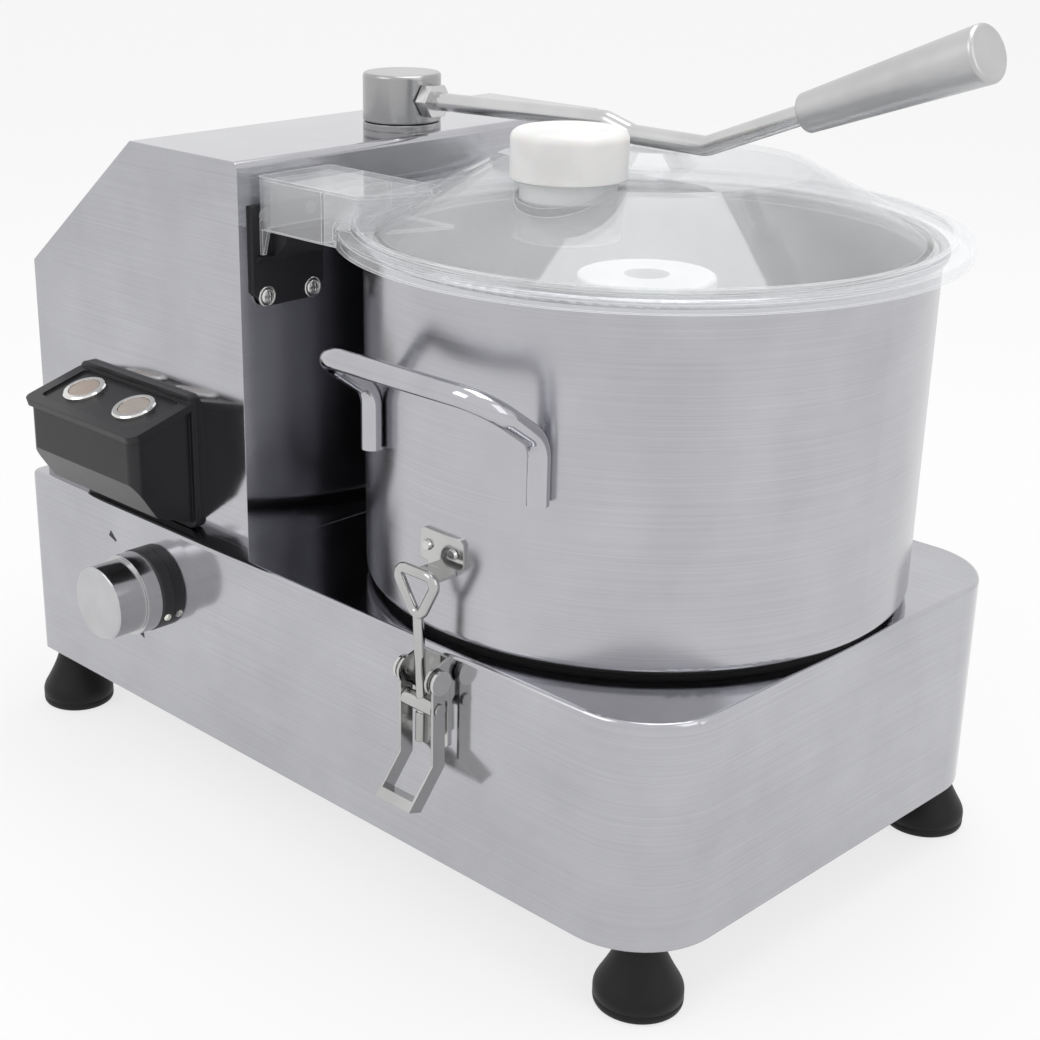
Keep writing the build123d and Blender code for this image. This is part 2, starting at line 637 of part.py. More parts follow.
# ---------------------------------------------------------------- bowl
with BuildPart() as bowl:
    with BuildSketch(Plane.XZ):
        with BuildLine():
            Polyline(
                (bowl_x, bowl_floor),
                (bowl_x + BOWL_BOTTOM_RADIUS, bowl_floor),
                (bowl_x + BOWL_TOP_RADIUS, bowl_top),
                (bowl_x, bowl_top),
                close=True,
            )
        make_face()
    revolve(axis=Axis((bowl_x, 0, 0), (0, 0, 1)))
    fillet(bowl.edges().group_by(Axis.Z)[0], BOWL_CORNER)
    offset(amount=-BOWL_WALL, openings=bowl.faces().sort_by(Axis.Z)[-1])
    with BuildSketch(Plane.XZ):
        with Locations((bowl_x + BOWL_TOP_RADIUS + BOWL_BEAD - BOWL_WALL, bowl_top - BOWL_BEAD)):
            Circle(BOWL_BEAD)
    revolve(axis=Axis((bowl_x, 0, 0), (0, 0, 1)))
    with BuildSketch(Plane.XY.offset(bowl_floor)):
        with Locations((bowl_x, 0)):
            Circle(BOWL_TUBE_BORE + BOWL_WALL)
    extrude(amount=BOWL_TUBE_HEIGHT)
    with Locations((bowl_x, 0, tube_top)):
        Hole(BOWL_TUBE_BORE, depth=BOWL_TUBE_HEIGHT)

leg_bottom = bowl_floor + HANDLE_LEG_BOTTOM
leg_top = bowl_floor + HANDLE_LEG_TOP
leg_ring = bowl_radius_at(HANDLE_LEG_TOP) + HANDLE_ROD_RADIUS
leg_y = -sqrt(leg_ring**2 - HANDLE_HALF_SPAN**2)
bar_y = leg_y - HANDLE_REACH
bar_z = leg_top + HANDLE_RISE

with BuildPart() as front_handle:
    with BuildLine() as handle_path:
        FilletPolyline(
            (bowl_x - HANDLE_HALF_SPAN, leg_y, leg_bottom),
            (bowl_x - HANDLE_HALF_SPAN, leg_y, leg_top),
            (bowl_x - HANDLE_HALF_SPAN, bar_y, bar_z),
            (bowl_x + HANDLE_HALF_SPAN, bar_y, bar_z),
            (bowl_x + HANDLE_HALF_SPAN, leg_y, leg_top),
            (bowl_x + HANDLE_HALF_SPAN, leg_y, leg_bottom),
            radius=HANDLE_BEND,
        )
    with BuildSketch(Plane((bowl_x - HANDLE_HALF_SPAN, leg_y, leg_bottom))):
        Circle(HANDLE_ROD_RADIUS)
    sweep()

with BuildPart() as rear_handle:
    mirror(front_handle.part, about=Plane.XZ)

# ---------------------------------------------------------------- lid
spigot_radius = bowl_radius_at(BOWL_DEPTH) - BOWL_WALL - 2 * GASKET_RADIUS - TOUCH_GAP

tab_mid_y = -(TAB_FRONT + TAB_BACK) / 2
tab_width = TAB_FRONT - TAB_BACK


def tab_outline(inset):
    """Plan of the tab: square at the tower, slanted where it runs into the lid's cone."""
    with BuildSketch() as outline:
        with BuildLine():
            Polyline(
                (tab_left_x, -TAB_FRONT),
                (tab_left_x + TAB_LENGTH, -TAB_FRONT),
                (tab_left_x + TAB_LENGTH + 0.4 * tab_width, -TAB_BACK),
                (tab_left_x, -TAB_BACK),
                close=True,
            )
        make_face()
        fillet(outline.vertices(), TAB_WALL + 1)
        if inset:
            offset(amount=-inset, mode=Mode.REPLACE)
    return outline.sketch


with BuildPart() as tab_shell:
    with BuildSketch(Plane.XY.offset(tab_bottom)):
        add(tab_outline(0))
    extrude(amount=TAB_HEIGHT)
    with BuildSketch(Plane.XY.offset(tab_bottom)):
        add(tab_outline(TAB_WALL))
    extrude(amount=TAB_HEIGHT - TAB_WALL, mode=Mode.SUBTRACT)
    with BuildSketch(Plane.YZ.offset(tab_left_x)):
        with BuildLine():
            Polyline(
                (-TAB_FRONT + TAB_WALL / 2, tab_bottom + 2 * TAB_WALL),
                (-TAB_FRONT + TAB_WALL / 2, tab_bottom - HOOK_DROP),
                (-TAB_FRONT + 1.5 * TAB_WALL, tab_bottom - HOOK_DROP),
                (-TAB_FRONT + HOOK_LENGTH, tab_bottom + 2 * TAB_WALL),
                close=True,
            )
        make_face()
    extrude(amount=TAB_WALL)
    with BuildSketch(Plane.YZ.offset(tab_left_x + 0.62 * TAB_LENGTH)):
        with Locations((tab_mid_y, tab_top - TAB_HEIGHT / 2)):
            Rectangle(tab_width - TAB_WALL, TAB_HEIGHT)
    extrude(amount=TAB_WALL)
    with BuildSketch(Plane.XY.offset(tab_bottom - HOOK_DROP)):
        with Locations((bowl_x, 0)):
            Circle(lid_radius - LID_WALL / 2)
    extrude(amount=lid_flange_top - LID_WALL / 2 - tab_bottom + HOOK_DROP, mode=Mode.SUBTRACT)
    with BuildSketch(Plane.XZ):
        with BuildLine():
            Polyline(
                (bowl_x, lid_flange_top),
                (bowl_x + lid_cone_foot - TAB_WALL, lid_flange_top),
                (bowl_x + lid_disc_radius - TAB_WALL, lid_disc_top),
                (bowl_x, lid_disc_top),
                close=True,
            )
        make_face()
    revolve(axis=Axis((bowl_x, 0, 0), (0, 0, 1)), mode=Mode.SUBTRACT)

with BuildPart() as lid:
    with BuildSketch(Plane.XZ):
        with BuildLine():
            under = lid_disc_top - LID_WALL
            slope = (lid_cone_foot - lid_disc_radius) / LID_DISC_RISE
            Polyline(
                (bowl_x, under),
                (bowl_x + lid_disc_radius - LID_WALL / 2, under),
                (bowl_x + lid_cone_foot - LID_WALL - slope, lid_flange_bottom),
                (bowl_x + spigot_radius - LID_WALL, lid_flange_bottom - LID_SPIGOT),
                (bowl_x + spigot_radius, lid_flange_bottom - LID_SPIGOT),
                (bowl_x + spigot_radius, lid_flange_bottom),
                (bowl_x + lid_radius - LID_WALL, lid_flange_bottom),
                (bowl_x + lid_radius - LID_WALL, lid_flange_top - LID_SKIRT),
                (bowl_x + lid_radius, lid_flange_top - LID_SKIRT),
                (bowl_x + lid_radius, lid_flange_top - 1),
                (bowl_x + lid_radius - 1, lid_flange_top),
                (bowl_x + lid_step_radius, lid_flange_top),
                (bowl_x + lid_step_radius, lid_flange_top + LID_STEP),
                (bowl_x + lid_step_radius - LID_WALL, lid_flange_top + LID_STEP),
                (bowl_x + lid_step_radius - LID_WALL, lid_flange_top),
                (bowl_x + lid_cone_foot, lid_flange_top),
                (bowl_x + lid_disc_radius, lid_disc_top),
                (bowl_x + LID_BOSS_RADIUS, lid_disc_top),
            )
            Polyline(
                (bowl_x + LID_BOSS_RADIUS, lid_disc_top),
                (bowl_x + LID_BOSS_FLAT, boss_top),
                (bowl_x, boss_top),
                (bowl_x, under),
            )
        make_face()
    revolve(axis=Axis((bowl_x, 0, 0), (0, 0, 1)))
    with BuildSketch(Plane.XY.offset(lid_disc_top - CHUTE_BOTTOM)):
        with Locations((chute_x, chute_y)):
            Circle(CHUTE_RADIUS)
    extrude(amount=CHUTE_BOTTOM + CHUTE_TOP)
    with Locations((chute_x, chute_y, chute_top)):
        Hole(CHUTE_RADIUS - CHUTE_WALL, depth=CHUTE_BOTTOM + CHUTE_TOP)
    add(tab_shell.part)

with BuildPart() as lid_gasket:
    with BuildSketch(Plane.XZ):
        gasket_z = lid_flange_bottom - LID_SPIGOT / 2
        with Locations((bowl_x + spigot_radius + GASKET_RADIUS, gasket_z)):
            Circle(GASKET_RADIUS)
    revolve(axis=Axis((bowl_x, 0, 0), (0, 0, 1)))

with BuildPart() as chute_cap:
    with BuildSketch(Plane.XY.offset(chute_top + TOUCH_GAP)):
        with Locations((chute_x, chute_y)):
            Circle(CAP_RADIUS)
    extrude(amount=CAP_HEIGHT)
    fillet(chute_cap.edges().group_by(Axis.Z)[-1], CAP_ROUND)
    with BuildSketch(Plane.XY.offset(chute_top + TOUCH_GAP - CAP_PLUG)):
        with Locations((chute_x, chute_y)):
            Circle(CHUTE_RADIUS - CHUTE_WALL - TOUCH_GAP)
    extrude(amount=CAP_PLUG)
    chamfer(chute_cap.edges().group_by(Axis.Z)[0], 1.5)

# ---------------------------------------------------------------- interlock bracket
bracket_top = tab_bottom + BRACKET_WIDTH / 4
bracket_mid_y = -(TAB_FRONT + TAB_BACK) / 2 - 5
ledge_top = tab_bottom - TOUCH_GAP
screw_places = [
    (bracket_mid_y + side * BRACKET_SCREW_X / 2, bracket_top - BRACKET_HEIGHT / 2 + rise * BRACKET_SCREW_Z / 2)
    for side in (-1, 1)
    for rise in (-1, 1)
]
bracket_gap = tab_left_x - tower_face_x - TOUCH_GAP

with BuildPart() as switch_bracket:
    with BuildSketch(Plane.YZ.offset(tower_face_x)) as outline:
        with Locations((bracket_mid_y, bracket_top - BRACKET_HEIGHT / 2)):
            Rectangle(BRACKET_WIDTH, BRACKET_HEIGHT)
        chamfer(outline.vertices().group_by(Axis.Y)[0], BRACKET_WIDTH / 6)
    extrude(amount=bracket_gap)
    with BuildSketch(Plane.XZ.offset(-bracket_mid_y)):
        with BuildLine():
            Polyline(
                (tower_face_x, ledge_top),
                (tower_face_x + BRACKET_LEDGE, ledge_top),
                (tower_face_x + BRACKET_LEDGE, ledge_top - BRACKET_LEDGE_HEIGHT / 3),
                (tower_face_x, ledge_top - BRACKET_LEDGE_HEIGHT),
                close=True,
            )
        make_face()
    extrude(amount=BRACKET_WIDTH / 2 - TAB_WALL, both=True)
    with BuildSketch(Plane.YZ.offset(tab_left_x - TOUCH_GAP)):
        with Locations((-TAB_FRONT, ledge_top)):
            Rectangle(2 * HOOK_LENGTH + 2, 2 * HOOK_DROP + 2)
    extrude(amount=BRACKET_LEDGE, mode=Mode.SUBTRACT)
    with BuildSketch(Plane.YZ.offset(tower_face_x)):
        with Locations(*screw_places):
            Circle(BRACKET_SCREW_HEAD / 2)
    extrude(amount=BRACKET_LEDGE, mode=Mode.SUBTRACT)

with BuildPart() as bracket_screws:
    with BuildSketch(Plane.YZ.offset(tower_face_x)):
        with Locations(*screw_places):
            Circle(BRACKET_SCREW_HEAD / 2)
    extrude(amount=bracket_gap + 0.2)
    with BuildSketch(Plane.YZ.offset(tower_face_x + bracket_gap)):
        with Locations(*[place for place in screw_places if place[1] < ledge_top]):
            Circle(BRACKET_SCREW_HEAD)
    extrude(amount=2, taper=25)

with BuildPart() as safety_switch:
    with Locations((tower_face_x - SHEET - 8, bracket_mid_y, bracket_top - BRACKET_HEIGHT / 2)):
        Box(16, 28, 20)

# ---------------------------------------------------------------- hold-down arm
arm_plane = Plane((post_x, POST_Y, 0), x_dir=(cos(radians(arm_angle)), sin(radians(arm_angle)), 0),
                  z_dir=(sin(radians(arm_angle)), -cos(radians(arm_angle)), 0))
arm_entry_z = cap_bottom + ARM_ROD_ENTRY
flat_z = boss_top + ARM_ROD_RADIUS + TOUCH_GAP + 0.2
flat_mid = hypot(bowl_x - post_x, POST_Y)
flat_end = flat_mid + ARM_FLAT_RUN
rod_end = (
    flat_end + ARM_ROD_LENGTH * cos(radians(ARM_LIFT_ANGLE)),
    flat_z + ARM_ROD_LENGTH * sin(radians(ARM_LIFT_ANGLE)),
)
grip_start = (
    rod_end[0] - GRIP_SOCKET * cos(radians(ARM_LIFT_ANGLE)),
    rod_end[1] - GRIP_SOCKET * sin(radians(ARM_LIFT_ANGLE)),
)

with BuildLine(arm_plane) as rod_path:
    FilletPolyline(
        (0, arm_entry_z),
        (ARM_CREST_RUN, arm_entry_z + ARM_CREST_RISE),
        (flat_mid - ARM_FLAT_LENGTH / 2, flat_z),
        (flat_end, flat_z),
        rod_end,
        radius=ARM_BEND,
    )
rod_line = rod_path.line

with BuildPart() as lever_rod:
    with BuildSketch(Plane(rod_line @ 0, z_dir=rod_line % 0)):
        Circle(ARM_ROD_RADIUS)
    sweep(path=rod_line)

with BuildPart() as arm_collar:
    with BuildSketch(Plane.XY.offset(tower_top)):
        with Locations((post_x, POST_Y)):
            Circle(POST_CAP_RADIUS)
            Circle(POST_RADIUS + RUNNING_FIT, mode=Mode.SUBTRACT)
    extrude(amount=COLLAR_HEIGHT)
    with BuildSketch(Plane.XY.offset(tower_top - BUSH_DEPTH)):
        with Locations((post_x, POST_Y)):
            Circle(POST_RADIUS + BUSH_WALL)
            Circle(POST_RADIUS + RUNNING_FIT, mode=Mode.SUBTRACT)
    extrude(amount=BUSH_DEPTH)

with BuildPart() as pivot_post:
    with BuildSketch(Plane.XY.offset(tower_top - BUSH_DEPTH - COLLAR_HEIGHT)):
        with Locations((post_x, POST_Y)):
            Circle(POST_RADIUS)
    extrude(amount=cap_bottom + ARM_ROD_ENTRY / 2 - tower_top + BUSH_DEPTH + COLLAR_HEIGHT)

with BuildPart() as post_cap:
    with BuildSketch(Plane.XY.offset(cap_bottom)):
        with Locations((post_x, POST_Y)):
            Circle(POST_CAP_RADIUS)
    extrude(amount=POST_CAP_HEIGHT)
    fillet(post_cap.edges().group_by(Axis.Z)[-1], 2)
    chamfer(post_cap.edges().group_by(Axis.Z)[0], 1)
    with BuildSketch(Plane.XY.offset(cap_bottom)):
        with Locations((post_x, POST_Y)):
            Circle(POST_RADIUS)
    extrude(amount=ARM_ROD_ENTRY / 2, mode=Mode.SUBTRACT)
    with BuildSketch(Plane(rod_line @ 0, z_dir=rod_line % 0)):
        Circle(ARM_ROD_RADIUS)
    extrude(amount=POST_CAP_RADIUS + 2, mode=Mode.SUBTRACT)

with BuildPart() as hex_nut:
    nut_start = (rod_line @ 0) + (rod_line % 0) * (POST_CAP_RADIUS + 2 * TOUCH_GAP)
    with BuildSketch(Plane(nut_start, z_dir=rod_line % 0)):
        RegularPolygon(NUT_WIDTH / 2, 6, major_radius=False)
        Circle(ARM_ROD_RADIUS, mode=Mode.SUBTRACT)
    extrude(amount=NUT_LENGTH)

with BuildPart() as lever_grip:
    grip_plane = Plane(
        arm_plane.from_local_coords(Vector(*grip_start, 0)),
        z_dir=rod_line % 1,
    )
    with BuildSketch(Plane(grip_plane.origin, x_dir=grip_plane.x_dir, z_dir=grip_plane.y_dir)) as section:
        with BuildLine():
            Polyline(
                (ARM_ROD_RADIUS, 0),
                (GRIP_NECK_RADIUS, 0),
                (GRIP_END_RADIUS, -GRIP_LENGTH),
                (0, -GRIP_LENGTH),
                (0, -GRIP_SOCKET),
                (ARM_ROD_RADIUS, -GRIP_SOCKET),
                close=True,
            )
        make_face()
        fillet(section.vertices().sort_by_distance((0, 0, 0))[-1:], 2)
    revolve(axis=Axis(grip_plane.origin, grip_plane.z_dir))

# ---------------------------------------------------------------- push-button box
box_right_x = tower_face_x - BOX_FROM_TOWER_FACE
box_left_x = box_right_x - BOX_LENGTH
box_mid_x = (box_left_x + box_right_x) / 2
box_back_top = base_top + BOX_TOP
box_front_y = tower_front_y - BOX_DEPTH
box_front_top = box_back_top - BOX_TOP_FALL
box_slant_top = box_front_top - BOX_FRONT_HEIGHT
box_slant_bottom = box_slant_top - BOX_SLANT_FALL
box_back_bottom = box_slant_bottom - BOX_BOTTOM_FALL
top_tilt = atan2(BOX_TOP_FALL, BOX_DEPTH)
box_top_plane = Plane(
    (box_mid_x, tower_front_y - BOX_DEPTH / 2, (box_back_top + box_front_top) / 2),
    x_dir=(1, 0, 0),
    z_dir=(0, -sin(top_tilt), cos(top_tilt)),
)
top_depth = hypot(BOX_DEPTH, BOX_TOP_FALL)
button_places = [(side * BUTTON_SPACING / 2, 0) for side in (-1, 1)]

with BuildPart() as control_box:
    with BuildSketch(Plane.YZ.offset(box_left_x)):
        with BuildLine():
            Polyline(
                (tower_front_y, box_back_top),
                (box_front_y, box_front_top),
                (box_front_y, box_slant_top),
                (box_front_y + BOX_SLANT_RUN, box_slant_bottom),
                (tower_front_y, box_back_bottom),
                close=True,
            )
        make_face()
    extrude(amount=BOX_LENGTH)
    fillet(control_box.edges().filter_by(Axis.Z).group_by(Axis.Y)[0], BOX_CORNER)
    offset(amount=-BOX_WALL, openings=control_box.faces().sort_by(Axis.Y)[-1])
    with BuildSketch(box_top_plane) as lip:
        with Locations((0, -BOX_LIP / 2)):
            RectangleRounded(BOX_LENGTH + 2 * BOX_LIP, top_depth + BOX_LIP, BOX_CORNER)
    extrude(amount=-BOX_LIP_HEIGHT)
    with BuildSketch(box_top_plane):
        RectangleRounded(BOX_LENGTH - 4 * BOX_WALL, top_depth - 4 * BOX_WALL, BOX_CORNER / 2)
    extrude(amount=-BOX_LIP_HEIGHT / 3, mode=Mode.SUBTRACT)
    with BuildSketch(Plane.XZ.offset(-tower_front_y)):
        with Locations((box_mid_x, (box_back_top + box_back_bottom) / 2)):
            RectangleRounded(
                BOX_LENGTH + 2 * BOX_LIP, box_back_top - box_back_bottom + 2 * BOX_LIP, BOX_CORNER
            )
            Rectangle(
                BOX_LENGTH - 2 * BOX_WALL,
                box_back_top - box_back_bottom - 6 * BOX_WALL,
                mode=Mode.SUBTRACT,
            )
    extrude(amount=BOX_FLANGE)
    split(bisect_by=Plane.XZ.offset(-tower_front_y), keep=Keep.TOP)
    with Locations(box_top_plane):
        with Locations(*[(x, y, 0) for x, y in button_places]):
            Hole(BUTTON_RADIUS + 2 * RUNNING_FIT + 1, depth=3 * BOX_WALL)

bezel_seat = Plane(box_top_plane.from_local_coords(Vector(0, 0, -BOX_LIP_HEIGHT / 3)),
                   x_dir=box_top_plane.x_dir, z_dir=box_top_plane.z_dir)

with BuildPart() as button_bezels:
    with BuildSketch(bezel_seat):
        with Locations(*button_places):
            Circle(BEZEL_RADIUS)
    extrude(amount=BEZEL_HEIGHT)
    chamfer(button_bezels.edges().group_by(Axis((0, 0, 0), box_top_plane.z_dir))[-1], 1)
    with BuildSketch(bezel_seat):
        with Locations(*button_places):
            Circle(BUTTON_RADIUS + RUNNING_FIT)
    extrude(amount=BEZEL_HEIGHT, mode=Mode.SUBTRACT)


def push_button(place):
    """Flat push-button: a slightly domed steel face on a plunger."""
    with BuildPart() as button:
        with BuildSketch(bezel_seat.offset(-BOX_WALL)):
            with Locations(place):
                Circle(BUTTON_RADIUS)
        extrude(amount=BOX_WALL + BEZEL_HEIGHT - TOUCH_GAP)
        chamfer(button.edges().group_by(Axis((0, 0, 0), box_top_plane.z_dir))[-1], 0.5)
    return button


start_button = push_button(button_places[1])
stop_button = push_button(button_places[0])

with BuildPart() as contact_blocks:
    with BuildSketch(bezel_seat.offset(-BOX_WALL - BUTTON_TRAVEL - TOUCH_GAP)):
        with Locations(*button_places):
            Rectangle(CONTACT_SIDE, CONTACT_SIDE)
    extrude(amount=-CONTACT_DEPTH)
    with BuildSketch(bezel_seat.offset(-BOX_WALL - BUTTON_TRAVEL - TOUCH_GAP)):
        with Locations(*button_places):
            Circle(BEZEL_RADIUS)
            Circle(BUTTON_RADIUS + 1, mode=Mode.SUBTRACT)
    extrude(amount=BUTTON_TRAVEL)

# ---------------------------------------------------------------- speed dial
dial_front = Plane.XZ.offset(-front_y)


def dial_face(radius, near):
    """Round face on the dial's axis, at a distance from the base front."""
    with BuildSketch(dial_front.offset(near)) as face:
        with Locations((dial_x, dial_z)):
            Circle(radius)
    return face.sketch


with BuildPart() as dial_plate:
    extrude(dial_face(DIAL_PLATE_RADIUS, 0), amount=DIAL_PLATE)
    chamfer(dial_plate.edges().group_by(Axis.Y)[0], 1)
    with Locations(dial_front.offset(DIAL_PLATE)):
        with Locations((dial_x, dial_z)):
            Hole(DIAL_SHAFT_RADIUS + RUNNING_FIT, depth=DIAL_PLATE)

with BuildPart() as knob:
    extrude(dial_face(DIAL_SKIRT_RADIUS, DIAL_PLATE + TOUCH_GAP), amount=DIAL_SKIRT)
    extrude(dial_face(DIAL_CAP_RADIUS, DIAL_PLATE + TOUCH_GAP + DIAL_SKIRT), amount=DIAL_CAP)
    fillet(knob.edges().group_by(Axis.Y)[0], 1.2)
    extrude(dial_face(DIAL_SHAFT_RADIUS, DIAL_PLATE + TOUCH_GAP), amount=-(DIAL_PLATE + TOUCH_GAP + 2 * SHEET))

with BuildPart() as potentiometer:
    extrude(dial_face(POT_RADIUS, -SHEET), amount=-POT_DEPTH)
    with Locations(dial_front.offset(-SHEET)):
        with Locations((dial_x, dial_z)):
            Hole(DIAL_SHAFT_RADIUS + RUNNING_FIT, depth=2 * SHEET)

# ---------------------------------------------------------------- bowl latches (front one; the rear one mirrors it)
lever_half = LATCH_WIDTH / 2
arm_inner = lever_half - LATCH_SHEET
ear_outer = arm_inner - TOUCH_GAP
ear_inner = ear_outer - LATCH_SHEET
plate_front_y = front_y - LATCH_SHEET
pivot = (latch_pivot_y, latch_pivot_z)

with BuildPart() as front_latch_base:
    with BuildSketch(Plane.XZ.offset(-front_y)):
        with Locations((bowl_x, base_top - BASE_FOLD - LATCH_PLATE_HEIGHT / 2)):
            RectangleRounded(2 * ear_outer, LATCH_PLATE_HEIGHT, 2)
    extrude(amount=LATCH_SHEET)
    for side in (-1, 1):
        with BuildSketch(Plane.YZ.offset(bowl_x + side * (ear_inner + LATCH_SHEET / 2))):
            with BuildLine():
                Polyline(
                    (front_y, latch_pivot_z - 2 * LATCH_EAR_RADIUS),
                    (front_y, base_top - BASE_FOLD),
                    (latch_pivot_y, latch_pivot_z + LATCH_EAR_RADIUS),
                    (latch_pivot_y, latch_pivot_z - LATCH_EAR_RADIUS),
                    close=True,
                )
            make_face()
            with Locations(pivot):
                Circle(LATCH_EAR_RADIUS)
                Circle(TRUNNION_RADIUS, mode=Mode.SUBTRACT)
        extrude(amount=LATCH_SHEET / 2, both=True)

with BuildPart() as latch_pins:
    for side in (-1, 1):
        with BuildSketch(Plane.YZ.offset(bowl_x + side * ear_inner)):
            with Locations(pivot):
                Circle(TRUNNION_RADIUS)
        extrude(amount=side * (lever_half - ear_inner + TOUCH_GAP))
        with BuildSketch(Plane.YZ.offset(bowl_x + side * (lever_half + TOUCH_GAP))):
            with Locations(pivot):
                Circle(PIVOT_HEAD_RADIUS)
        extrude(amount=side * RIVET_HEIGHT)
    mirror(about=Plane.XZ)

with BuildPart() as front_lever:
    for side in (-1, 1):
        with BuildSketch(Plane.YZ.offset(bowl_x + side * (arm_inner + LATCH_SHEET / 2))):
            bend_z = latch_pivot_z - LEVER_STRAIGHT
            back_y = latch_pivot_y + LEVER_DEPTH / 2
            out_y = latch_pivot_y - LEVER_DEPTH / 2
            with BuildLine():
                Polyline(
                    (back_y, latch_pivot_z),
                    (back_y, bend_z),
                    (back_y - LEVER_TIP_RUN, bend_z - LEVER_TIP_FALL),
                    (out_y - LEVER_TIP_RUN, bend_z - LEVER_TIP_FALL + LEVER_DEPTH / 3),
                    (out_y, bend_z + LEVER_DEPTH / 3),
                    (out_y, latch_pivot_z),
                    close=True,
                )
            make_face()
            with Locations(pivot):
                Circle(LEVER_DEPTH / 2 + 1)
                Circle(TRUNNION_RADIUS + RUNNING_FIT, mode=Mode.SUBTRACT)
            with Locations((latch_pivot_y, barrel_z)):
                Circle(TRUNNION_RADIUS + RUNNING_FIT, mode=Mode.SUBTRACT)
        extrude(amount=LATCH_SHEET / 2, both=True)
    with BuildSketch(Plane.YZ.offset(bowl_x)):
        lip_rise = LEVER_LIP * LEVER_TIP_FALL / LEVER_TIP_RUN
        tip_z = bend_z - LEVER_TIP_FALL
        with BuildLine():
            Polyline(
                (back_y - LEVER_TIP_RUN, tip_z),
                (out_y - LEVER_TIP_RUN, tip_z + LEVER_DEPTH / 3),
                (out_y - LEVER_TIP_RUN + LEVER_LIP, tip_z + LEVER_DEPTH / 3 + lip_rise),
                (back_y - LEVER_TIP_RUN + LEVER_LIP, tip_z + lip_rise),
                close=True,
            )
        make_face()
    extrude(amount=arm_inner, both=True)

loop_z = bowl_floor + KEEPER_FLOOR
keeper_bottom = loop_z + HOOK_ROD_RADIUS - KEEPER_DROP
keeper_top = keeper_bottom + KEEPER_HEIGHT
keeper_ring = max(bowl_radius_at(z - bowl_floor) for z in (keeper_bottom - KEEPER_SHEET, keeper_top))
loop_y = -keeper_ring - KEEPER_SHEET - KEEPER_LOOP_GAP - HOOK_ROD_RADIUS
hook_tilt = atan2(loop_y - latch_pivot_y, loop_z - barrel_z)
hook_plane = Plane(
    (bowl_x, latch_pivot_y, barrel_z),
    x_dir=(1, 0, 0),
    z_dir=(0, -cos(hook_tilt), -sin(hook_tilt)),
)
loop_height = (loop_z - barrel_z) / cos(hook_tilt)
apex_height = loop_height - HOOK_APEX

with BuildPart() as front_hook:
    with BuildLine(hook_plane) as loop:
        corners = [(-HOOK_HALF_WIDTH, loop_height), (HOOK_HALF_WIDTH, loop_height), (0, apex_height)]
        FilletPolyline(*corners, radius=HOOK_CORNER, close=True)
    with BuildSketch(Plane(loop.line @ 0, z_dir=loop.line % 0)):
        Circle(HOOK_ROD_RADIUS)
    sweep()
    with BuildSketch(Plane(hook_plane.from_local_coords(Vector(0, -HOOK_TAIL, 0)), z_dir=hook_plane.y_dir)):
        Circle(HOOK_ROD_RADIUS)
    extrude(amount=HOOK_TAIL + apex_height + HOOK_LAP)

with BuildPart() as front_barrel:
    with BuildSketch(Plane.YZ.offset(bowl_x)):
        with Locations((latch_pivot_y, barrel_z)):
            Circle(BARREL_RADIUS)
    extrude(amount=arm_inner - TOUCH_GAP, both=True)
    with BuildSketch(Plane.YZ.offset(bowl_x)):
        with Locations((latch_pivot_y, barrel_z)):
            Circle(TRUNNION_RADIUS)
    extrude(amount=lever_half + TOUCH_GAP, both=True)
    for side in (-1, 1):
        with BuildSketch(Plane.YZ.offset(bowl_x + side * (lever_half + TOUCH_GAP))):
            with Locations((latch_pivot_y, barrel_z)):
                Circle(TRUNNION_HEAD_RADIUS)
        extrude(amount=side * TRUNNION_HEAD)
    with BuildSketch(Plane(hook_plane.origin, z_dir=hook_plane.y_dir)):
        Circle(HOOK_ROD_RADIUS)
    extrude(amount=2 * BARREL_RADIUS, both=True, mode=Mode.SUBTRACT)

tongue_top = loop_z - HOOK_ROD_RADIUS - TOUCH_GAP
tongue_bottom = tongue_top - KEEPER_SHEET
tongue_end = -loop_y + HOOK_ROD_RADIUS + KEEPER_SHEET
rivet_z = (keeper_bottom + keeper_top) / 2
rivet_places = [(bowl_x + side * KEEPER_RIVET_X, rivet_z) for side in (-1, 1)]


def keeper_band(bottom, top):
    """Curved sheet against the bowl's wall between two heights."""
    with BuildPart() as band:
        with BuildSketch(Plane.XY.offset(bottom)):
            with Locations((bowl_x, 0)):
                Circle(keeper_ring + KEEPER_SHEET)
                Circle(keeper_ring, mode=Mode.SUBTRACT)
        extrude(amount=top - bottom)
    return band.part


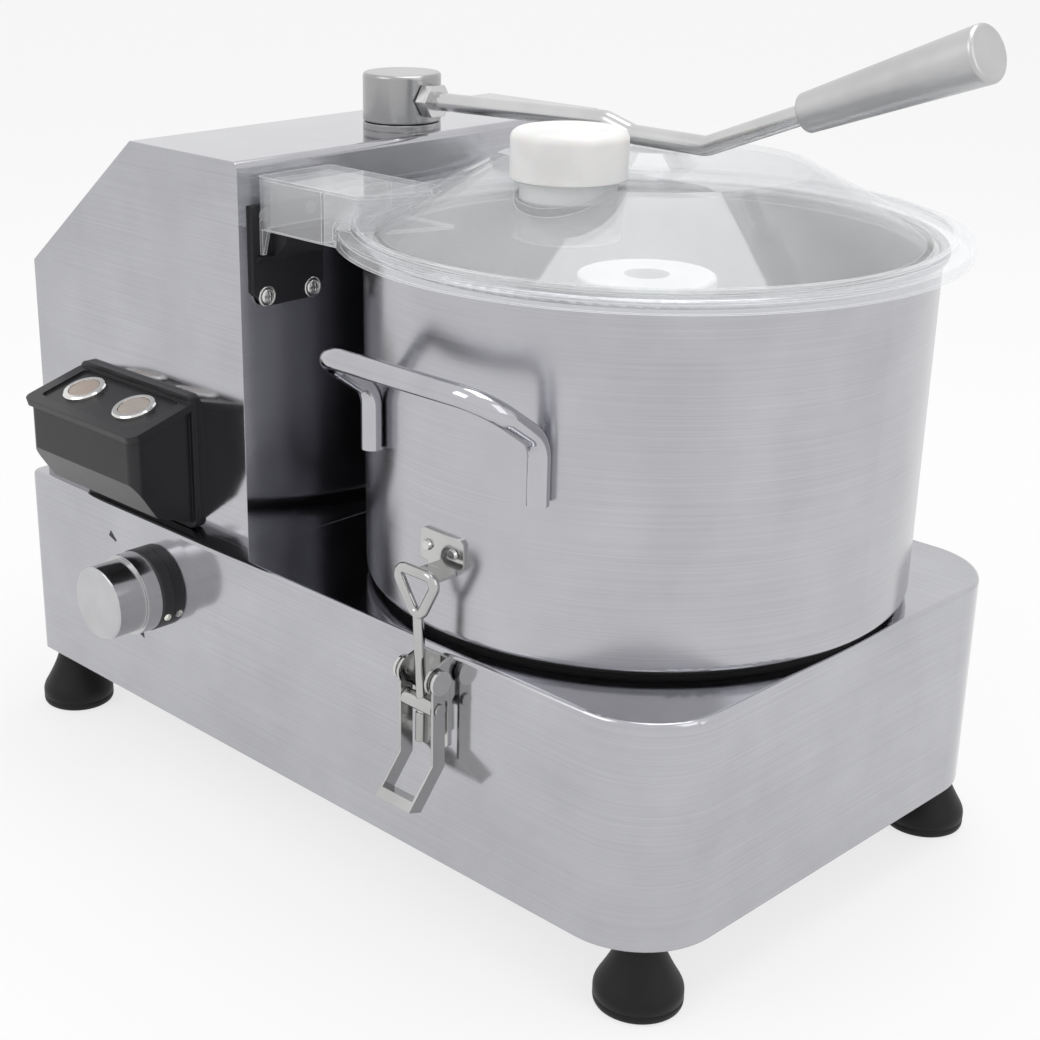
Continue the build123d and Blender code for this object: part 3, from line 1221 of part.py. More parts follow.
with BuildPart() as front_keeper:
    add(keeper_band(keeper_bottom, keeper_top))
    with BuildSketch(Plane.XZ):
        with Locations((bowl_x, rivet_z)):
            RectangleRounded(2 * KEEPER_HALF_WIDTH, KEEPER_HEIGHT, KEEPER_CORNER)
    extrude(amount=keeper_ring + 2 * KEEPER_SHEET, mode=Mode.INTERSECT)
    with BuildPart(mode=Mode.PRIVATE) as root:
        add(keeper_band(tongue_bottom, keeper_bottom + KEEPER_SHEET))
        with BuildSketch(Plane.XZ):
            with Locations((bowl_x, (tongue_bottom + keeper_bottom + KEEPER_SHEET) / 2)):
                Rectangle(2 * KEEPER_TONGUE, keeper_bottom + KEEPER_SHEET - tongue_bottom)
        extrude(amount=keeper_ring + 2 * KEEPER_SHEET, mode=Mode.INTERSECT)
    add(root.part)
    with BuildSketch(Plane.XY.offset(tongue_bottom)):
        with Locations((bowl_x, -keeper_ring - KEEPER_SHEET / 2)):
            Rectangle(
                2 * KEEPER_TONGUE,
                tongue_end - keeper_ring - KEEPER_SHEET / 2,
                align=(Align.CENTER, Align.MAX),
            )
    extrude(amount=KEEPER_SHEET)
    with BuildSketch(Plane.XZ.offset(keeper_ring - KEEPER_SHEET)):
        with Locations(*rivet_places):
            Circle(RIVET_RADIUS / 2)
    extrude(amount=3 * KEEPER_SHEET, mode=Mode.SUBTRACT)

with BuildPart() as latch_rivets:
    with BuildSketch(Plane.XZ.offset(keeper_ring)):
        with Locations(*rivet_places):
            Circle(RIVET_RADIUS / 2)
    extrude(amount=KEEPER_SHEET)
    with BuildSketch(Plane.XZ.offset(keeper_ring + KEEPER_SHEET)):
        with Locations(*rivet_places):
            Circle(RIVET_RADIUS)
    extrude(amount=RIVET_HEIGHT, taper=20)
    with BuildSketch(Plane.XZ.offset(-plate_front_y)):
        with Locations((bowl_x, base_top - BASE_FOLD - LATCH_PLATE_HEIGHT + 6)):
            Circle(RIVET_RADIUS)
    extrude(amount=RIVET_HEIGHT / 2, taper=20)
    mirror(about=Plane.XZ)

rear_latch = {}
for rear_name, front_piece in (
    ("rear_latch_base", front_latch_base),
    ("rear_lever", front_lever),
    ("rear_hook", front_hook),
    ("rear_barrel", front_barrel),
    ("rear_keeper", front_keeper),
):
    with BuildPart() as rear_piece:
        mirror(front_piece.part, about=Plane.XZ)
    rear_latch[rear_name] = rear_piece

# ---------------------------------------------------------------- hand over
pieces = {
    "base_housing": base_housing,
    "base_plate": base_plate,
    "seat_ring": seat_ring,
    **feet,
    "foot_screws": foot_screws,
    "motor_housing": motor_housing,
    "rear_panel": rear_panel,
    "motor_mount": motor_mount,
    "motor_body": motor_body,
    "motor_shaft": motor_shaft,
    "motor_pulley": motor_pulley,
    "drive_belt": belt,
    "driven_pulley": driven_pulley,
    "bearing_housing": bearing_housing,
    "bearing_upper": bearing_upper,
    "bearing_lower": bearing_lower,
    "shaft_seal": shaft_seal,
    "frame_bolts": frame_bolts,
    "drive_shaft": drive_shaft,
    "blade_hub": blade_hub,
    "blades": blades,
    "bowl": bowl,
    "front_handle": front_handle,
    "rear_handle": rear_handle,
    "lid": lid,
    "lid_gasket": lid_gasket,
    "chute_cap": chute_cap,
    "switch_bracket": switch_bracket,
    "bracket_screws": bracket_screws,
    "safety_switch": safety_switch,
    "arm_collar": arm_collar,
    "pivot_post": pivot_post,
    "post_cap": post_cap,
    "hex_nut": hex_nut,
    "lever_rod": lever_rod,
    "lever_grip": lever_grip,
    "control_box": control_box,
    "button_bezels": button_bezels,
    "contact_blocks": contact_blocks,
    "start_button": start_button,
    "stop_button": stop_button,
    "dial_plate": dial_plate,
    "potentiometer": potentiometer,
    "knob": knob,
    "front_latch_base": front_latch_base,
    "latch_pins": latch_pins,
    "front_lever": front_lever,
    "front_hook": front_hook,
    "front_barrel": front_barrel,
    "front_keeper": front_keeper,
    "latch_rivets": latch_rivets,
    **rear_latch,
}
machine_box = Compound([piece.part for piece in pieces.values()]).bounding_box()
to_origin = Vector(-machine_box.center().X, -machine_box.center().Y, -machine_box.min.Z)
os.makedirs("parts", exist_ok=True)
for name, piece in pieces.items():
    piece.part = piece.part.moved(Location(to_origin))
    piece.part.label = name
    export_step(piece.part, f"parts/{name}.step")
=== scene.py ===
"""Bench-top bowl cutter: finishes, small fittings and studio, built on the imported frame."""
import math

import bpy
from bpy.props import FloatProperty, FloatVectorProperty, PointerProperty
from mathutils import Matrix, Vector


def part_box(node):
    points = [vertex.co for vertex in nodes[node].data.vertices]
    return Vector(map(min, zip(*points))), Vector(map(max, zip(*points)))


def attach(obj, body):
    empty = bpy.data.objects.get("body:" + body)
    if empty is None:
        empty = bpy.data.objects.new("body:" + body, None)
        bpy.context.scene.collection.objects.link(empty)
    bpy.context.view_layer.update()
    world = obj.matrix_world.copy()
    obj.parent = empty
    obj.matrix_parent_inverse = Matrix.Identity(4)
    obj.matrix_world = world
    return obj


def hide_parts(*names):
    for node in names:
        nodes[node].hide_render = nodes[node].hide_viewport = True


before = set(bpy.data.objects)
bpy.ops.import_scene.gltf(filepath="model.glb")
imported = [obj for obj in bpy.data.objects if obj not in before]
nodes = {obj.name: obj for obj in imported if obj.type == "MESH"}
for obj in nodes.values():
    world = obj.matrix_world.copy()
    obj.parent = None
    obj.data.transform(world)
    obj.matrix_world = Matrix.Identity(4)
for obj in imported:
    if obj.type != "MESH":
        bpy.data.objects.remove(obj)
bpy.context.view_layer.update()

bl_info = {
    "name": "Bowl cutter",
    "version": (1, 0, 0),
    "blender": (4, 5, 0),
    "location": "3D View > Sidebar > Bowl cutter",
    "description": "Finishes, small fittings and studio of a bench-top bowl cutter",
    "category": "Object",
}

# ---------------------------------------------------------------- places read from the frame
base_low, base_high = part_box("base_housing")
machine_x = (base_low.x + base_high.x) / 2
machine_y = (base_low.y + base_high.y) / 2
bowl_low, bowl_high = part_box("bowl")
bowl_axis = Vector(((bowl_low.x + bowl_high.x) / 2, (bowl_low.y + bowl_high.y) / 2, bowl_low.z))
dial_low, dial_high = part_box("dial_plate")
dial_centre = Vector(((dial_low.x + dial_high.x) / 2, base_low.y, (dial_low.z + dial_high.z) / 2))
plated_head_radius = 0.0042
plated_head_height = 0.002
lower_head_radius = 0.0046
lower_head_dome = 0.0026
upper_head_dome = 0.00018
washer_profile = [(0.0046, 0.0), (0.0064, 0.0), (0.0062, 0.0009), (0.0054, 0.0013), (0.0048, 0.0008)]
grub_screw_radius = 0.0027
grub_screw_dome = 0.0022
grub_screw_seat = 0.0004
grub_screw_angle = math.radians(-27)
scale_mark_height = 0.00006
scale_mark_inner_half = 0.0008
scale_mark_outer_half = 0.0024
scale_marks = (("low", math.radians(-107), 0.0365, 0.0405), ("high", math.radians(149), 0.042, 0.050))
hook_rod_radius = 0.003
thread_start = 0.0055
thread_end_gap = 0.0008
thread_pitch = 0.00125
thread_profile = ((0.0, 0.00002), (0.35, 0.0004), (0.65, 0.0004))
thread_core = 0.9
foot_profile = [
    (0.0221, 0.0), (0.0229, 0.0003), (0.0238, 0.0010), (0.0243, 0.0020), (0.0245, 0.0034),
    (0.0245, 0.0048), (0.0242, 0.0051), (0.0242, 0.0055), (0.0245, 0.0058), (0.0245, 0.0092),
    (0.0243, 0.0108), (0.0237, 0.0126), (0.0226, 0.0148), (0.0212, 0.0172), (0.0194, 0.0204),
    (0.0176, 0.0238), (0.0159, 0.0273), (0.0145, 0.0305), (0.0134, 0.0334), (0.0127, 0.0358),
    (0.0125, 0.0380), (0.0125, 0.0400), (0.0032, 0.0400), (0.0032, 0.0100), (0.0072, 0.0090),
    (0.0075, 0.0086), (0.0075, 0.0004), (0.0079, 0.0),
]


# ---------------------------------------------------------------- shader maths
class Wire:
    """A shader socket that takes Python arithmetic; each expression adds its Math nodes."""

    def __init__(self, tree, socket):
        self.tree = tree
        self.socket = socket

    def _math(self, operation, first, second):
        node = self.tree.nodes.new("ShaderNodeMath")
        node.operation = operation
        for place, value in ((0, first), (1, second)):
            if isinstance(value, Wire):
                self.tree.links.new(value.socket, node.inputs[place])
            else:
                node.inputs[place].default_value = value
        return Wire(self.tree, node.outputs[0])

    def __add__(self, other):
        return self._math("ADD", self, other)

    def __radd__(self, other):
        return self._math("ADD", other, self)

    def __sub__(self, other):
        return self._math("SUBTRACT", self, other)

    def __rsub__(self, other):
        return self._math("SUBTRACT", other, self)

    def __mul__(self, other):
        return self._math("MULTIPLY", self, other)

    def __rmul__(self, other):
        return self._math("MULTIPLY", other, self)

    def __truediv__(self, other):
        return self._math("DIVIDE", self, other)

    def __pow__(self, other):
        return self._math("POWER", self, other)


class Nodes:
    """A node tree under construction, with one way to add any node."""

    def __init__(self, tree):
        self.tree = tree
        tree.nodes.clear()

    def node(self, kind, settings=None, sockets=None, out=0, stops=None):
        """One node of any kind: settings first, then values or links of its sockets."""
        made = self.tree.nodes.new(kind)
        for key, value in (settings or {}).items():
            setattr(made, key, value)
        if stops:
            ramp = made.color_ramp
            while len(ramp.elements) < len(stops):
                ramp.elements.new(0.5)
            for element, (position, shade) in zip(ramp.elements, stops):
                element.position = position
                element.color = (shade, shade, shade, 1) if isinstance(shade, float) else shade
        for key, value in (sockets or {}).items():
            if isinstance(value, Wire):
                self.tree.links.new(value.socket, made.inputs[key])
            else:
                made.inputs[key].default_value = value
        return None if out is None else Wire(self.tree, made.outputs[out])

    def vectors(self, operation, first, second, out=0):
        return self.node("ShaderNodeVectorMath", {"operation": operation}, {0: first, 1: second}, out)

    def background_rays(self):
        """1 for rays that show the backdrop: straight, mirrored in metal or through clear pieces."""
        other = 1.0
        for kind in ("Camera", "Glossy", "Transmission"):
            other = other * (1 - self.node("ShaderNodeLightPath", out=f"Is {kind} Ray"))
        return 1 - other


class Finish(Nodes):
    """A material under construction: its tree, its shader and the wires between them."""

    def __init__(self, name, **constants):
        self.material = bpy.data.materials.new(name)
        self.material.use_nodes = True
        super().__init__(self.material.node_tree)
        self.output = self.tree.nodes.new("ShaderNodeOutputMaterial")
        self.shader = self.tree.nodes.new("ShaderNodeBsdfPrincipled")
        self.lit = Wire(self.tree, self.shader.outputs[0])
        self.surface(self.lit)
        for socket, value in constants.items():
            self.shader.inputs[socket.replace("_", " ").title().replace("Ior", "IOR")].default_value = value
        self.place = self.node("ShaderNodeTexCoord", out="Object")

    def surface(self, wire):
        self.tree.links.new(wire.socket, self.output.inputs["Surface"])

    def feed(self, socket, wire):
        self.tree.links.new(wire.socket, self.shader.inputs[socket])

    def stretched(self, scale):
        """Object coordinates multiplied per axis, for grain that runs one way."""
        return self.vectors("MULTIPLY", self.place, scale)

    def noise(self, scale=1.0, vector=None, detail=2.0):
        sockets = {"Vector": vector or self.place, "Scale": scale, "Detail": detail, "Roughness": 0.5}
        return self.node("ShaderNodeTexNoise", None, sockets)

    def ramp(self, value, low, high, shade_low=0.0, shade_high=1.0):
        return self.node(
            "ShaderNodeMapRange",
            None,
            {"Value": value, "From Min": low, "From Max": high, "To Min": shade_low, "To Max": shade_high},
        )

    def mix(self, factor, first, second):
        """Mix of two colours by a factor."""
        return self.node(
            "ShaderNodeMix", {"data_type": "RGBA"}, {0: factor, 6: first, 7: second}, out=2
        )

    def over_clear(self, share, tint):
        """Show what lies behind, with the shader laid over it by a share."""
        behind = self.node("ShaderNodeBsdfTransparent", None, {"Color": rgba(tint)})
        self.surface(self.node("ShaderNodeMixShader", None, {0: share, 1: behind, 2: self.lit}))

    def relief(self, height, depth, strength=1.0, edge=0.0):
        """Bump from a height, over edges rounded by the given radius."""
        sockets = {"Height": height, "Distance": depth, "Strength": strength}
        if edge:
            sockets["Normal"] = self.node("ShaderNodeBevel", {"samples": 4}, {"Radius": edge})
        self.feed("Normal", self.node("ShaderNodeBump", None, sockets))


def shade(*parts, finish):
    """Give CAD nodes or new pieces a material in every slot."""
    for part in parts:
        piece = nodes[part] if isinstance(part, str) else part
        if not piece.material_slots:
            piece.data.materials.append(finish.material)
        for slot in piece.material_slots:
            slot.material = finish.material


def rgba(colour):
    return (*colour[:3], 1.0)


# ---------------------------------------------------------------- mesh tools
def mesh_piece(name, vertices, faces, body, smooth=True):
    """A new mesh object that rides on a body."""
    mesh = bpy.data.meshes.new(name)
    mesh.from_pydata([tuple(v) for v in vertices], [], faces)
    mesh.update()
    for polygon in mesh.polygons:
        polygon.use_smooth = smooth
    piece = bpy.data.objects.new(name, mesh)
    bpy.context.scene.collection.objects.link(piece)
    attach(piece, body)
    return piece


def polar_piece(name, rings, height_at, place, axis, body, sides=64, smooth=True):
    """A round face with relief: rings of points about an axis, each lifted by height_at(x, y)."""
    turn = axis.to_track_quat("Z", "Y")
    vertices = [place + turn @ Vector((0, 0, height_at(0.0, 0.0)))]
    faces = []
    for ring, radius in enumerate(rings):
        for side in range(sides):
            x = radius * math.cos(2 * math.pi * side / sides)
            y = radius * math.sin(2 * math.pi * side / sides)
            vertices.append(place + turn @ Vector((x, y, height_at(x, y))))
            here = 1 + ring * sides + side
            after = 1 + ring * sides + (side + 1) % sides
            faces.append((0, here, after) if ring == 0 else (here - sides, here, after, after - sides))
    return mesh_piece(name, vertices, faces, body, smooth)


def turned_piece(name, profile, place, axis, body, slot, sides=48):
    """A closed turned shape: (radius, height) points revolved about an axis."""
    turn = axis.to_track_quat("Z", "Y")
    vertices = []
    faces = []
    count = len(profile)
    for side in range(sides):
        angle = 2 * math.pi * side / sides
        for radius, height in profile:
            x = radius * math.cos(angle)
            y = radius * math.sin(angle)
            vertices.append(place + turn @ Vector((x, y, height)))
    for side in range(sides):
        onward = (side + 1) % sides
        for step in range(count):
            above = (step + 1) % count
            here = side * count
            there = onward * count
            faces.append((here + step, there + step, there + above, here + above))
    return mesh_piece(name, vertices, faces, body)


def cross_head(name, radius, dome, place, axis, body, slot):
    """Domed screw head with a cross recess, closed by its rim."""
    recess = 0.6 * radius
    arm = 0.13 * radius

    def height_at(x, y):
        across = min(abs(x), abs(y))
        along = max(abs(x), abs(y))
        inside = min(max((arm - across) / arm * 2, 0), 1) * min(max((recess - along) / arm, 0), 1)
        crown = dome * math.sqrt(max(1 - 0.9 * (x * x + y * y) / radius**2, 0.0))
        rim = 0.0 if math.hypot(x, y) > 0.999 * radius else crown
        return rim - 0.8 * dome * inside * (1 if rim else 0)

    rings = [radius * (step + 1) / 16 for step in range(16)]
    return polar_piece(name, rings, height_at, place, axis, body)


# ---------------------------------------------------------------- finishes
def brushed_steel(name, colour, roughness, pitch, edge=0.0006, painted_inner_light=None, **constants):
    """Stainless sheet: fine level brush lines, lines along X on top faces, faint clouding, soft folds;
    painted light on the bowl's inner faces when a lighter colour for them is given.
    """
    steel = Finish(name, metallic=1.0, roughness=roughness, **constants)
    across = 1 / pitch
    level = steel.noise(1.0, steel.stretched((7.0, 7.0, across)), detail=3.0)
    flat = steel.noise(1.0, steel.stretched((7.0, across, 7.0)), detail=3.0)
    facing = steel.node("ShaderNodeNewGeometry", out="Normal")
    upward = steel.node("ShaderNodeSeparateXYZ", None, {0: facing}, out="Z")
    lines = level + upward * upward * (flat - level)
    cloud = steel.noise(22.0, detail=4.0)
    steel.feed("Roughness", roughness + 0.06 * (lines - 0.5) + 0.10 * (cloud - 0.5))
    tone = steel.ramp(0.45 * lines + 0.55 * cloud, 0.3, 0.7)
    dark = tuple(0.9 * c for c in colour[:3])
    light = tuple(min(1.0, 1.08 * c) for c in colour[:3])
    tinted = steel.mix(tone, rgba(dark), rgba(light))
    # Painted light: faces turned toward the bowl's axis get a lighter colour, standing in for light reaching
    # into the bowl.
    if painted_inner_light:
        offset = steel.vectors("SUBTRACT", steel.place, bowl_axis)
        flat_offset = steel.vectors("MULTIPLY", offset, (1.0, 1.0, 0.0))
        outward = steel.vectors("DOT_PRODUCT", flat_offset, facing, out="Value")
        inside = steel.ramp(outward, 0.0, -0.02)
        tinted = steel.mix(inside, tinted, rgba(painted_inner_light))
    steel.feed("Base Color", tinted)
    swell = steel.noise(5.0, detail=1.0)
    steel.relief(0.02 * lines + swell, 0.0008, 0.35, edge)
    return steel


def turned_metal(name, colour, roughness, across, edge=0.0005):
    """Turned or ground metal: fine rings across an axis."""
    metal = Finish(name, metallic=1.0, roughness=roughness)
    rings = metal.noise(1.0, metal.stretched(across), detail=2.0)
    patches = metal.noise(40.0, detail=2.0)
    metal.feed("Roughness", roughness + 0.12 * (rings - 0.5) + 0.06 * (patches - 0.5))
    dark = tuple(0.92 * c for c in colour[:3])
    metal.feed("Base Color", metal.mix(metal.ramp(patches, 0.35, 0.65), rgba(dark), rgba(colour)))
    metal.relief(rings, 0.00002, 0.3, edge)
    return metal


def bright_metal(name, colour, roughness, edge=0.0005):
    """Plated or polished metal with faint handling marks."""
    metal = Finish(name, metallic=1.0, roughness=roughness)
    marks = metal.noise(180.0, detail=4.0)
    smears = metal.noise(25.0, detail=2.0)
    metal.feed("Roughness", roughness + 0.05 * (marks - 0.5) + 0.08 * (smears - 0.5))
    dark = tuple(0.93 * c for c in colour[:3])
    metal.feed("Base Color", metal.mix(metal.ramp(smears, 0.4, 0.6), rgba(dark), rgba(colour)))
    metal.relief(marks, 0.00002, 0.2, edge)
    return metal


def moulded_plastic(name, colour, roughness, grain=1400.0, depth=0.00004, edge=0.0008, **constants):
    """Moulded plastic with a fine spark-eroded grain."""
    plastic = Finish(name, roughness=roughness, **constants)
    specks = plastic.noise(grain, detail=2.0)
    drift = plastic.noise(30.0, detail=2.0)
    plastic.feed("Roughness", roughness + 0.10 * (specks - 0.5) + 0.08 * (drift - 0.5))
    dark = tuple(0.85 * c for c in colour[:3])
    plastic.feed("Base Color", plastic.mix(plastic.ramp(drift, 0.35, 0.65), rgba(dark), rgba(colour)))
    plastic.relief(specks, depth, 0.5, edge)
    return plastic


def clear_plastic(name, tint, haze, edge=0.0007):
    """Clear moulded plastic: a thin mirror over a faint haze, with painted white highlights along its edges.
    """
    clear = Finish(name, roughness=0.04)
    flow = clear.noise(9.0, detail=1.0)
    fine = clear.noise(1.0, clear.stretched((60.0, 700.0, 700.0)), detail=1.0)
    facing = clear.node("ShaderNodeLayerWeight", None, {"Blend": 0.5}, out="Facing")
    mirror = 0.045 + 0.4 * facing ** 6.0
    rounded = clear.node("ShaderNodeBevel", {"samples": 6}, {"Radius": edge})
    straight = clear.node("ShaderNodeNewGeometry", out="Normal")
    match = clear.vectors("DOT_PRODUCT", rounded, straight, out="Value")
    # Painted highlight: faces within the bevel radius of an edge turn white, standing in for the bright lines
    # that refraction draws along the lid's edges.
    painted_edge_highlight = clear.ramp(match, 0.97, 0.85)
    clear.feed("Base Color", clear.mix(flow, (0.92, 0.925, 0.935, 1.0), (0.98, 0.98, 0.985, 1.0)))
    clear.feed("Roughness", 0.03 + 0.06 * clear.ramp(fine, 0.6, 0.75))
    clear.relief(flow, 0.0006, 0.2)
    white = haze * (0.7 + 0.6 * flow) + 0.8 * painted_edge_highlight
    clear.feed("Metallic", mirror / (mirror + white))
    clear.over_clear(mirror + white, tint)
    return clear


# ---------------------------------------------------------------- settings
class SheetMetalSettings(bpy.types.PropertyGroup):
    """Folded base and motor tower."""

    colour: FloatVectorProperty(
        name="Sheet colour", description="Reflected colour of the stainless sheet", subtype="COLOR",
        size=3, min=0, max=1, default=(0.475, 0.476, 0.50),
    )
    roughness: FloatProperty(
        name="Sheet roughness", description="Blur of reflections in the sheet", subtype="FACTOR",
        min=0, max=1, default=0.11,
    )
    brush_pitch: FloatProperty(
        name="Brush pitch", description="Width of the coarser brush lines", subtype="DISTANCE",
        unit="LENGTH", min=0.0002, max=0.005, default=0.0009, precision=4,
    )


class BowlSettings(bpy.types.PropertyGroup):
    """Spun bowl and its handles."""

    colour: FloatVectorProperty(
        name="Bowl colour", description="Reflected colour of the bowl", subtype="COLOR",
        size=3, min=0, max=1, default=(0.49, 0.49, 0.515),
    )
    roughness: FloatProperty(
        name="Bowl roughness", description="Blur of reflections in the bowl", subtype="FACTOR",
        min=0, max=1, default=0.24,
    )
    handle_roughness: FloatProperty(
        name="Handle roughness", description="Blur of reflections in the bent rods", subtype="FACTOR",
        min=0, max=1, default=0.06,
    )


class PlasticSettings(bpy.types.PropertyGroup):
    """Lid, caps, boxes and feet."""

    clear_colour: FloatVectorProperty(
        name="Lid tint", description="Colour seen through the lid", subtype="COLOR",
        size=3, min=0, max=1, default=(0.975, 0.98, 0.985),
    )
    clear_haze: FloatProperty(
        name="Lid haze", description="White share of the clear plastic seen square on", subtype="FACTOR",
        min=0, max=1, default=0.15,
    )
    white_colour: FloatVectorProperty(
        name="White plastic", description="Chute cap, blade hub and seat", subtype="COLOR",
        size=3, min=0, max=1, default=(0.82, 0.82, 0.81),
    )
    black_colour: FloatVectorProperty(
        name="Black plastic", description="Push-button box and bracket", subtype="COLOR",
        size=3, min=0, max=1, default=(0.015, 0.0145, 0.017),
    )
    rubber_colour: FloatVectorProperty(
        name="Rubber", description="Feet and seals", subtype="COLOR",
        size=3, min=0, max=1, default=(0.008, 0.0075, 0.008),
    )


class StudioSettings(bpy.types.PropertyGroup):
    """Camera, lamps and floor."""

    lens: FloatProperty(
        name="Lens", description="Focal length on a 36 mm sensor", subtype="DISTANCE_CAMERA",
        min=10, max=300, default=63.78,
    )
    azimuth: FloatProperty(
        name="Azimuth", description="View direction round the machine", subtype="ANGLE",
        unit="ROTATION", default=math.radians(46.4017),
    )
    elevation: FloatProperty(
        name="Elevation", description="Height of the view above level", subtype="ANGLE",
        unit="ROTATION", default=math.radians(20.7285),
    )
    roll: FloatProperty(
        name="Roll", description="Tilt of the camera about its own axis", subtype="ANGLE",
        unit="ROTATION", default=math.radians(0.1523),
    )
    camera_place: FloatVectorProperty(
        name="Camera place", description="From the middle of the base at the floor", subtype="XYZ",
        unit="LENGTH", size=3, default=(0.773968, -0.800624, 0.589842),
    )
    floor_colour: FloatVectorProperty(
        name="Floor colour", description="Colour of the floor under the lamps", subtype="COLOR",
        size=3, min=0, max=1, default=(0.86, 0.86, 0.86),
    )
    key_power: FloatProperty(
        name="Key lamp", description="Power of the large lamp", subtype="POWER", unit="POWER",
        min=0, max=500, default=9.0,
    )


class BowlCutterSettings(bpy.types.PropertyGroup):
    """All settings of the bowl cutter."""

    sheet: PointerProperty(type=SheetMetalSettings, name="Sheet metal", description="Folded base and tower")
    bowl: PointerProperty(type=BowlSettings, name="Bowl", description="Spun bowl and handles")
    plastic: PointerProperty(type=PlasticSettings, name="Plastics", description="Lid, caps, boxes and feet")
    studio: PointerProperty(type=StudioSettings, name="Studio", description="Camera, lamps and floor")


def settings():
    return bpy.context.scene.bowl_cutter


# ---------------------------------------------------------------- operators
class BOWLCUTTER_OT_sheet_metal(bpy.types.Operator):
    """Finish the folded base, the tower and the panels"""

    bl_idname = "bowl_cutter.sheet_metal"
    bl_label = "Sheet metal"

    def execute(self, context):
        sheet = settings().sheet
        along_base = brushed_steel("base_sheet", sheet.colour, sheet.roughness, sheet.brush_pitch)
        along_tower = brushed_steel("tower_sheet", sheet.colour, sheet.roughness, sheet.brush_pitch)
        shade("base_housing", "base_plate", finish=along_base)
        shade("motor_housing", "rear_panel", finish=along_tower)
        return {"FINISHED"}


class BOWLCUTTER_OT_bowl(bpy.types.Operator):
    """Finish the spun bowl and its bent handles"""

    bl_idname = "bowl_cutter.bowl"
    bl_label = "Bowl and handles"

    def execute(self, context):
        bowl = settings().bowl
        # The bowl's inside colour is painted light: a lighter copy of the same steel.
        spun = brushed_steel(
            "spun_bowl", bowl.colour, bowl.roughness, pitch=0.0008, edge=0.0,
            painted_inner_light=(0.97, 0.97, 0.975), anisotropic=0.45, anisotropic_rotation=0.25,
        )
        shade("bowl", finish=spun)
        rods = bright_metal("handle_rod", bowl.colour, bowl.handle_roughness, edge=0.0)
        shade("front_handle", "rear_handle", finish=rods)
        return {"FINISHED"}


class BOWLCUTTER_OT_lid(bpy.types.Operator):
    """Finish the clear lid, its gasket and the chute cap"""

    bl_idname = "bowl_cutter.lid"
    bl_label = "Lid"

    def execute(self, context):
        plastic = settings().plastic
        shade("lid", finish=clear_plastic("clear_lid", plastic.clear_colour, plastic.clear_haze))
        shade("chute_cap", finish=moulded_plastic(
            "white_cap", plastic.white_colour, roughness=0.42, grain=700.0, depth=0.00002, edge=0.001,
            subsurface_weight=0.25, subsurface_scale=0.006,
        ))
        seal = moulded_plastic("lid_seal", (0.55, 0.55, 0.54), roughness=0.5, grain=900.0, depth=0.00002)
        shade("lid_gasket", finish=seal)
        return {"FINISHED"}


class BOWLCUTTER_OT_spindle(bpy.types.Operator):
    """Finish the blade hub, blades, shaft and seat"""

    bl_idname = "bowl_cutter.spindle"
    bl_label = "Spindle and blades"

    def execute(self, context):
        plastic = settings().plastic
        # The seat ring is black rubber; its black also stands in for the shadow in the gap under the bowl, so
        # it is partly painted shade.
        seat = moulded_plastic("seat_rubber_gap_shade", plastic.rubber_colour, roughness=0.6, grain=1000.0)
        shade("seat_ring", finish=seat)
        shade("blade_hub", finish=moulded_plastic(
            "white_hub", plastic.white_colour, roughness=0.35, grain=500.0, depth=0.00002, edge=0.001,
        ))
        ground = brushed_steel("ground_blade", (0.75, 0.75, 0.74), roughness=0.2, pitch=0.001, edge=0.0003)
        shade("blades", finish=ground)
        shaft = turned_metal("ground_shaft", (0.5, 0.5, 0.5), roughness=0.25, across=(20.0, 20.0, 1500.0))
        shade("drive_shaft", "motor_shaft", "pivot_post", "bearing_upper", "bearing_lower", finish=shaft)
        return {"FINISHED"}


class BOWLCUTTER_OT_drive(bpy.types.Operator):
    """Finish the motor, pulleys, belt and bearing housing"""

    bl_idname = "bowl_cutter.drive"
    bl_label = "Motor and belt drive"

    def execute(self, context):
        plastic = settings().plastic
        cast = turned_metal("cast_metal", (0.55, 0.55, 0.56), roughness=0.42, across=(300.0, 300.0, 900.0))
        shade("motor_mount", "motor_pulley", "driven_pulley", "bearing_housing", finish=cast)
        enamel = moulded_plastic("motor_enamel", (0.10, 0.11, 0.12), roughness=0.4, grain=900.0)
        shade("motor_body", finish=enamel)
        belt = moulded_plastic("belt_rubber", plastic.rubber_colour, roughness=0.7, grain=1100.0)
        shade("drive_belt", "shaft_seal", finish=belt)
        shade("frame_bolts", "foot_screws", finish=bright_metal("zinc_bolt", (0.6, 0.6, 0.58), roughness=0.3))
        return {"FINISHED"}


class BOWLCUTTER_OT_arm(bpy.types.Operator):
    """Finish the hold-down arm, its post cap, nut and grip"""

    bl_idname = "bowl_cutter.arm"
    bl_label = "Hold-down arm"

    def execute(self, context):
        shade("lever_rod", finish=bright_metal("arm_rod", (0.62, 0.62, 0.62), roughness=0.2, edge=0.0))
        shade("hex_nut", finish=bright_metal("arm_nut", (0.66, 0.66, 0.66), roughness=0.16, edge=0.0006))
        shade("post_cap", "arm_collar", finish=turned_metal(
            "cap_metal", (0.38, 0.38, 0.385), roughness=0.2, across=(30.0, 30.0, 1400.0), edge=0.0012,
        ))
        shade("lever_grip", finish=turned_metal(
            "grip_metal", (0.55, 0.55, 0.555), roughness=0.36, across=(900.0, 40.0, 400.0), edge=0.0012,
        ))
        return {"FINISHED"}


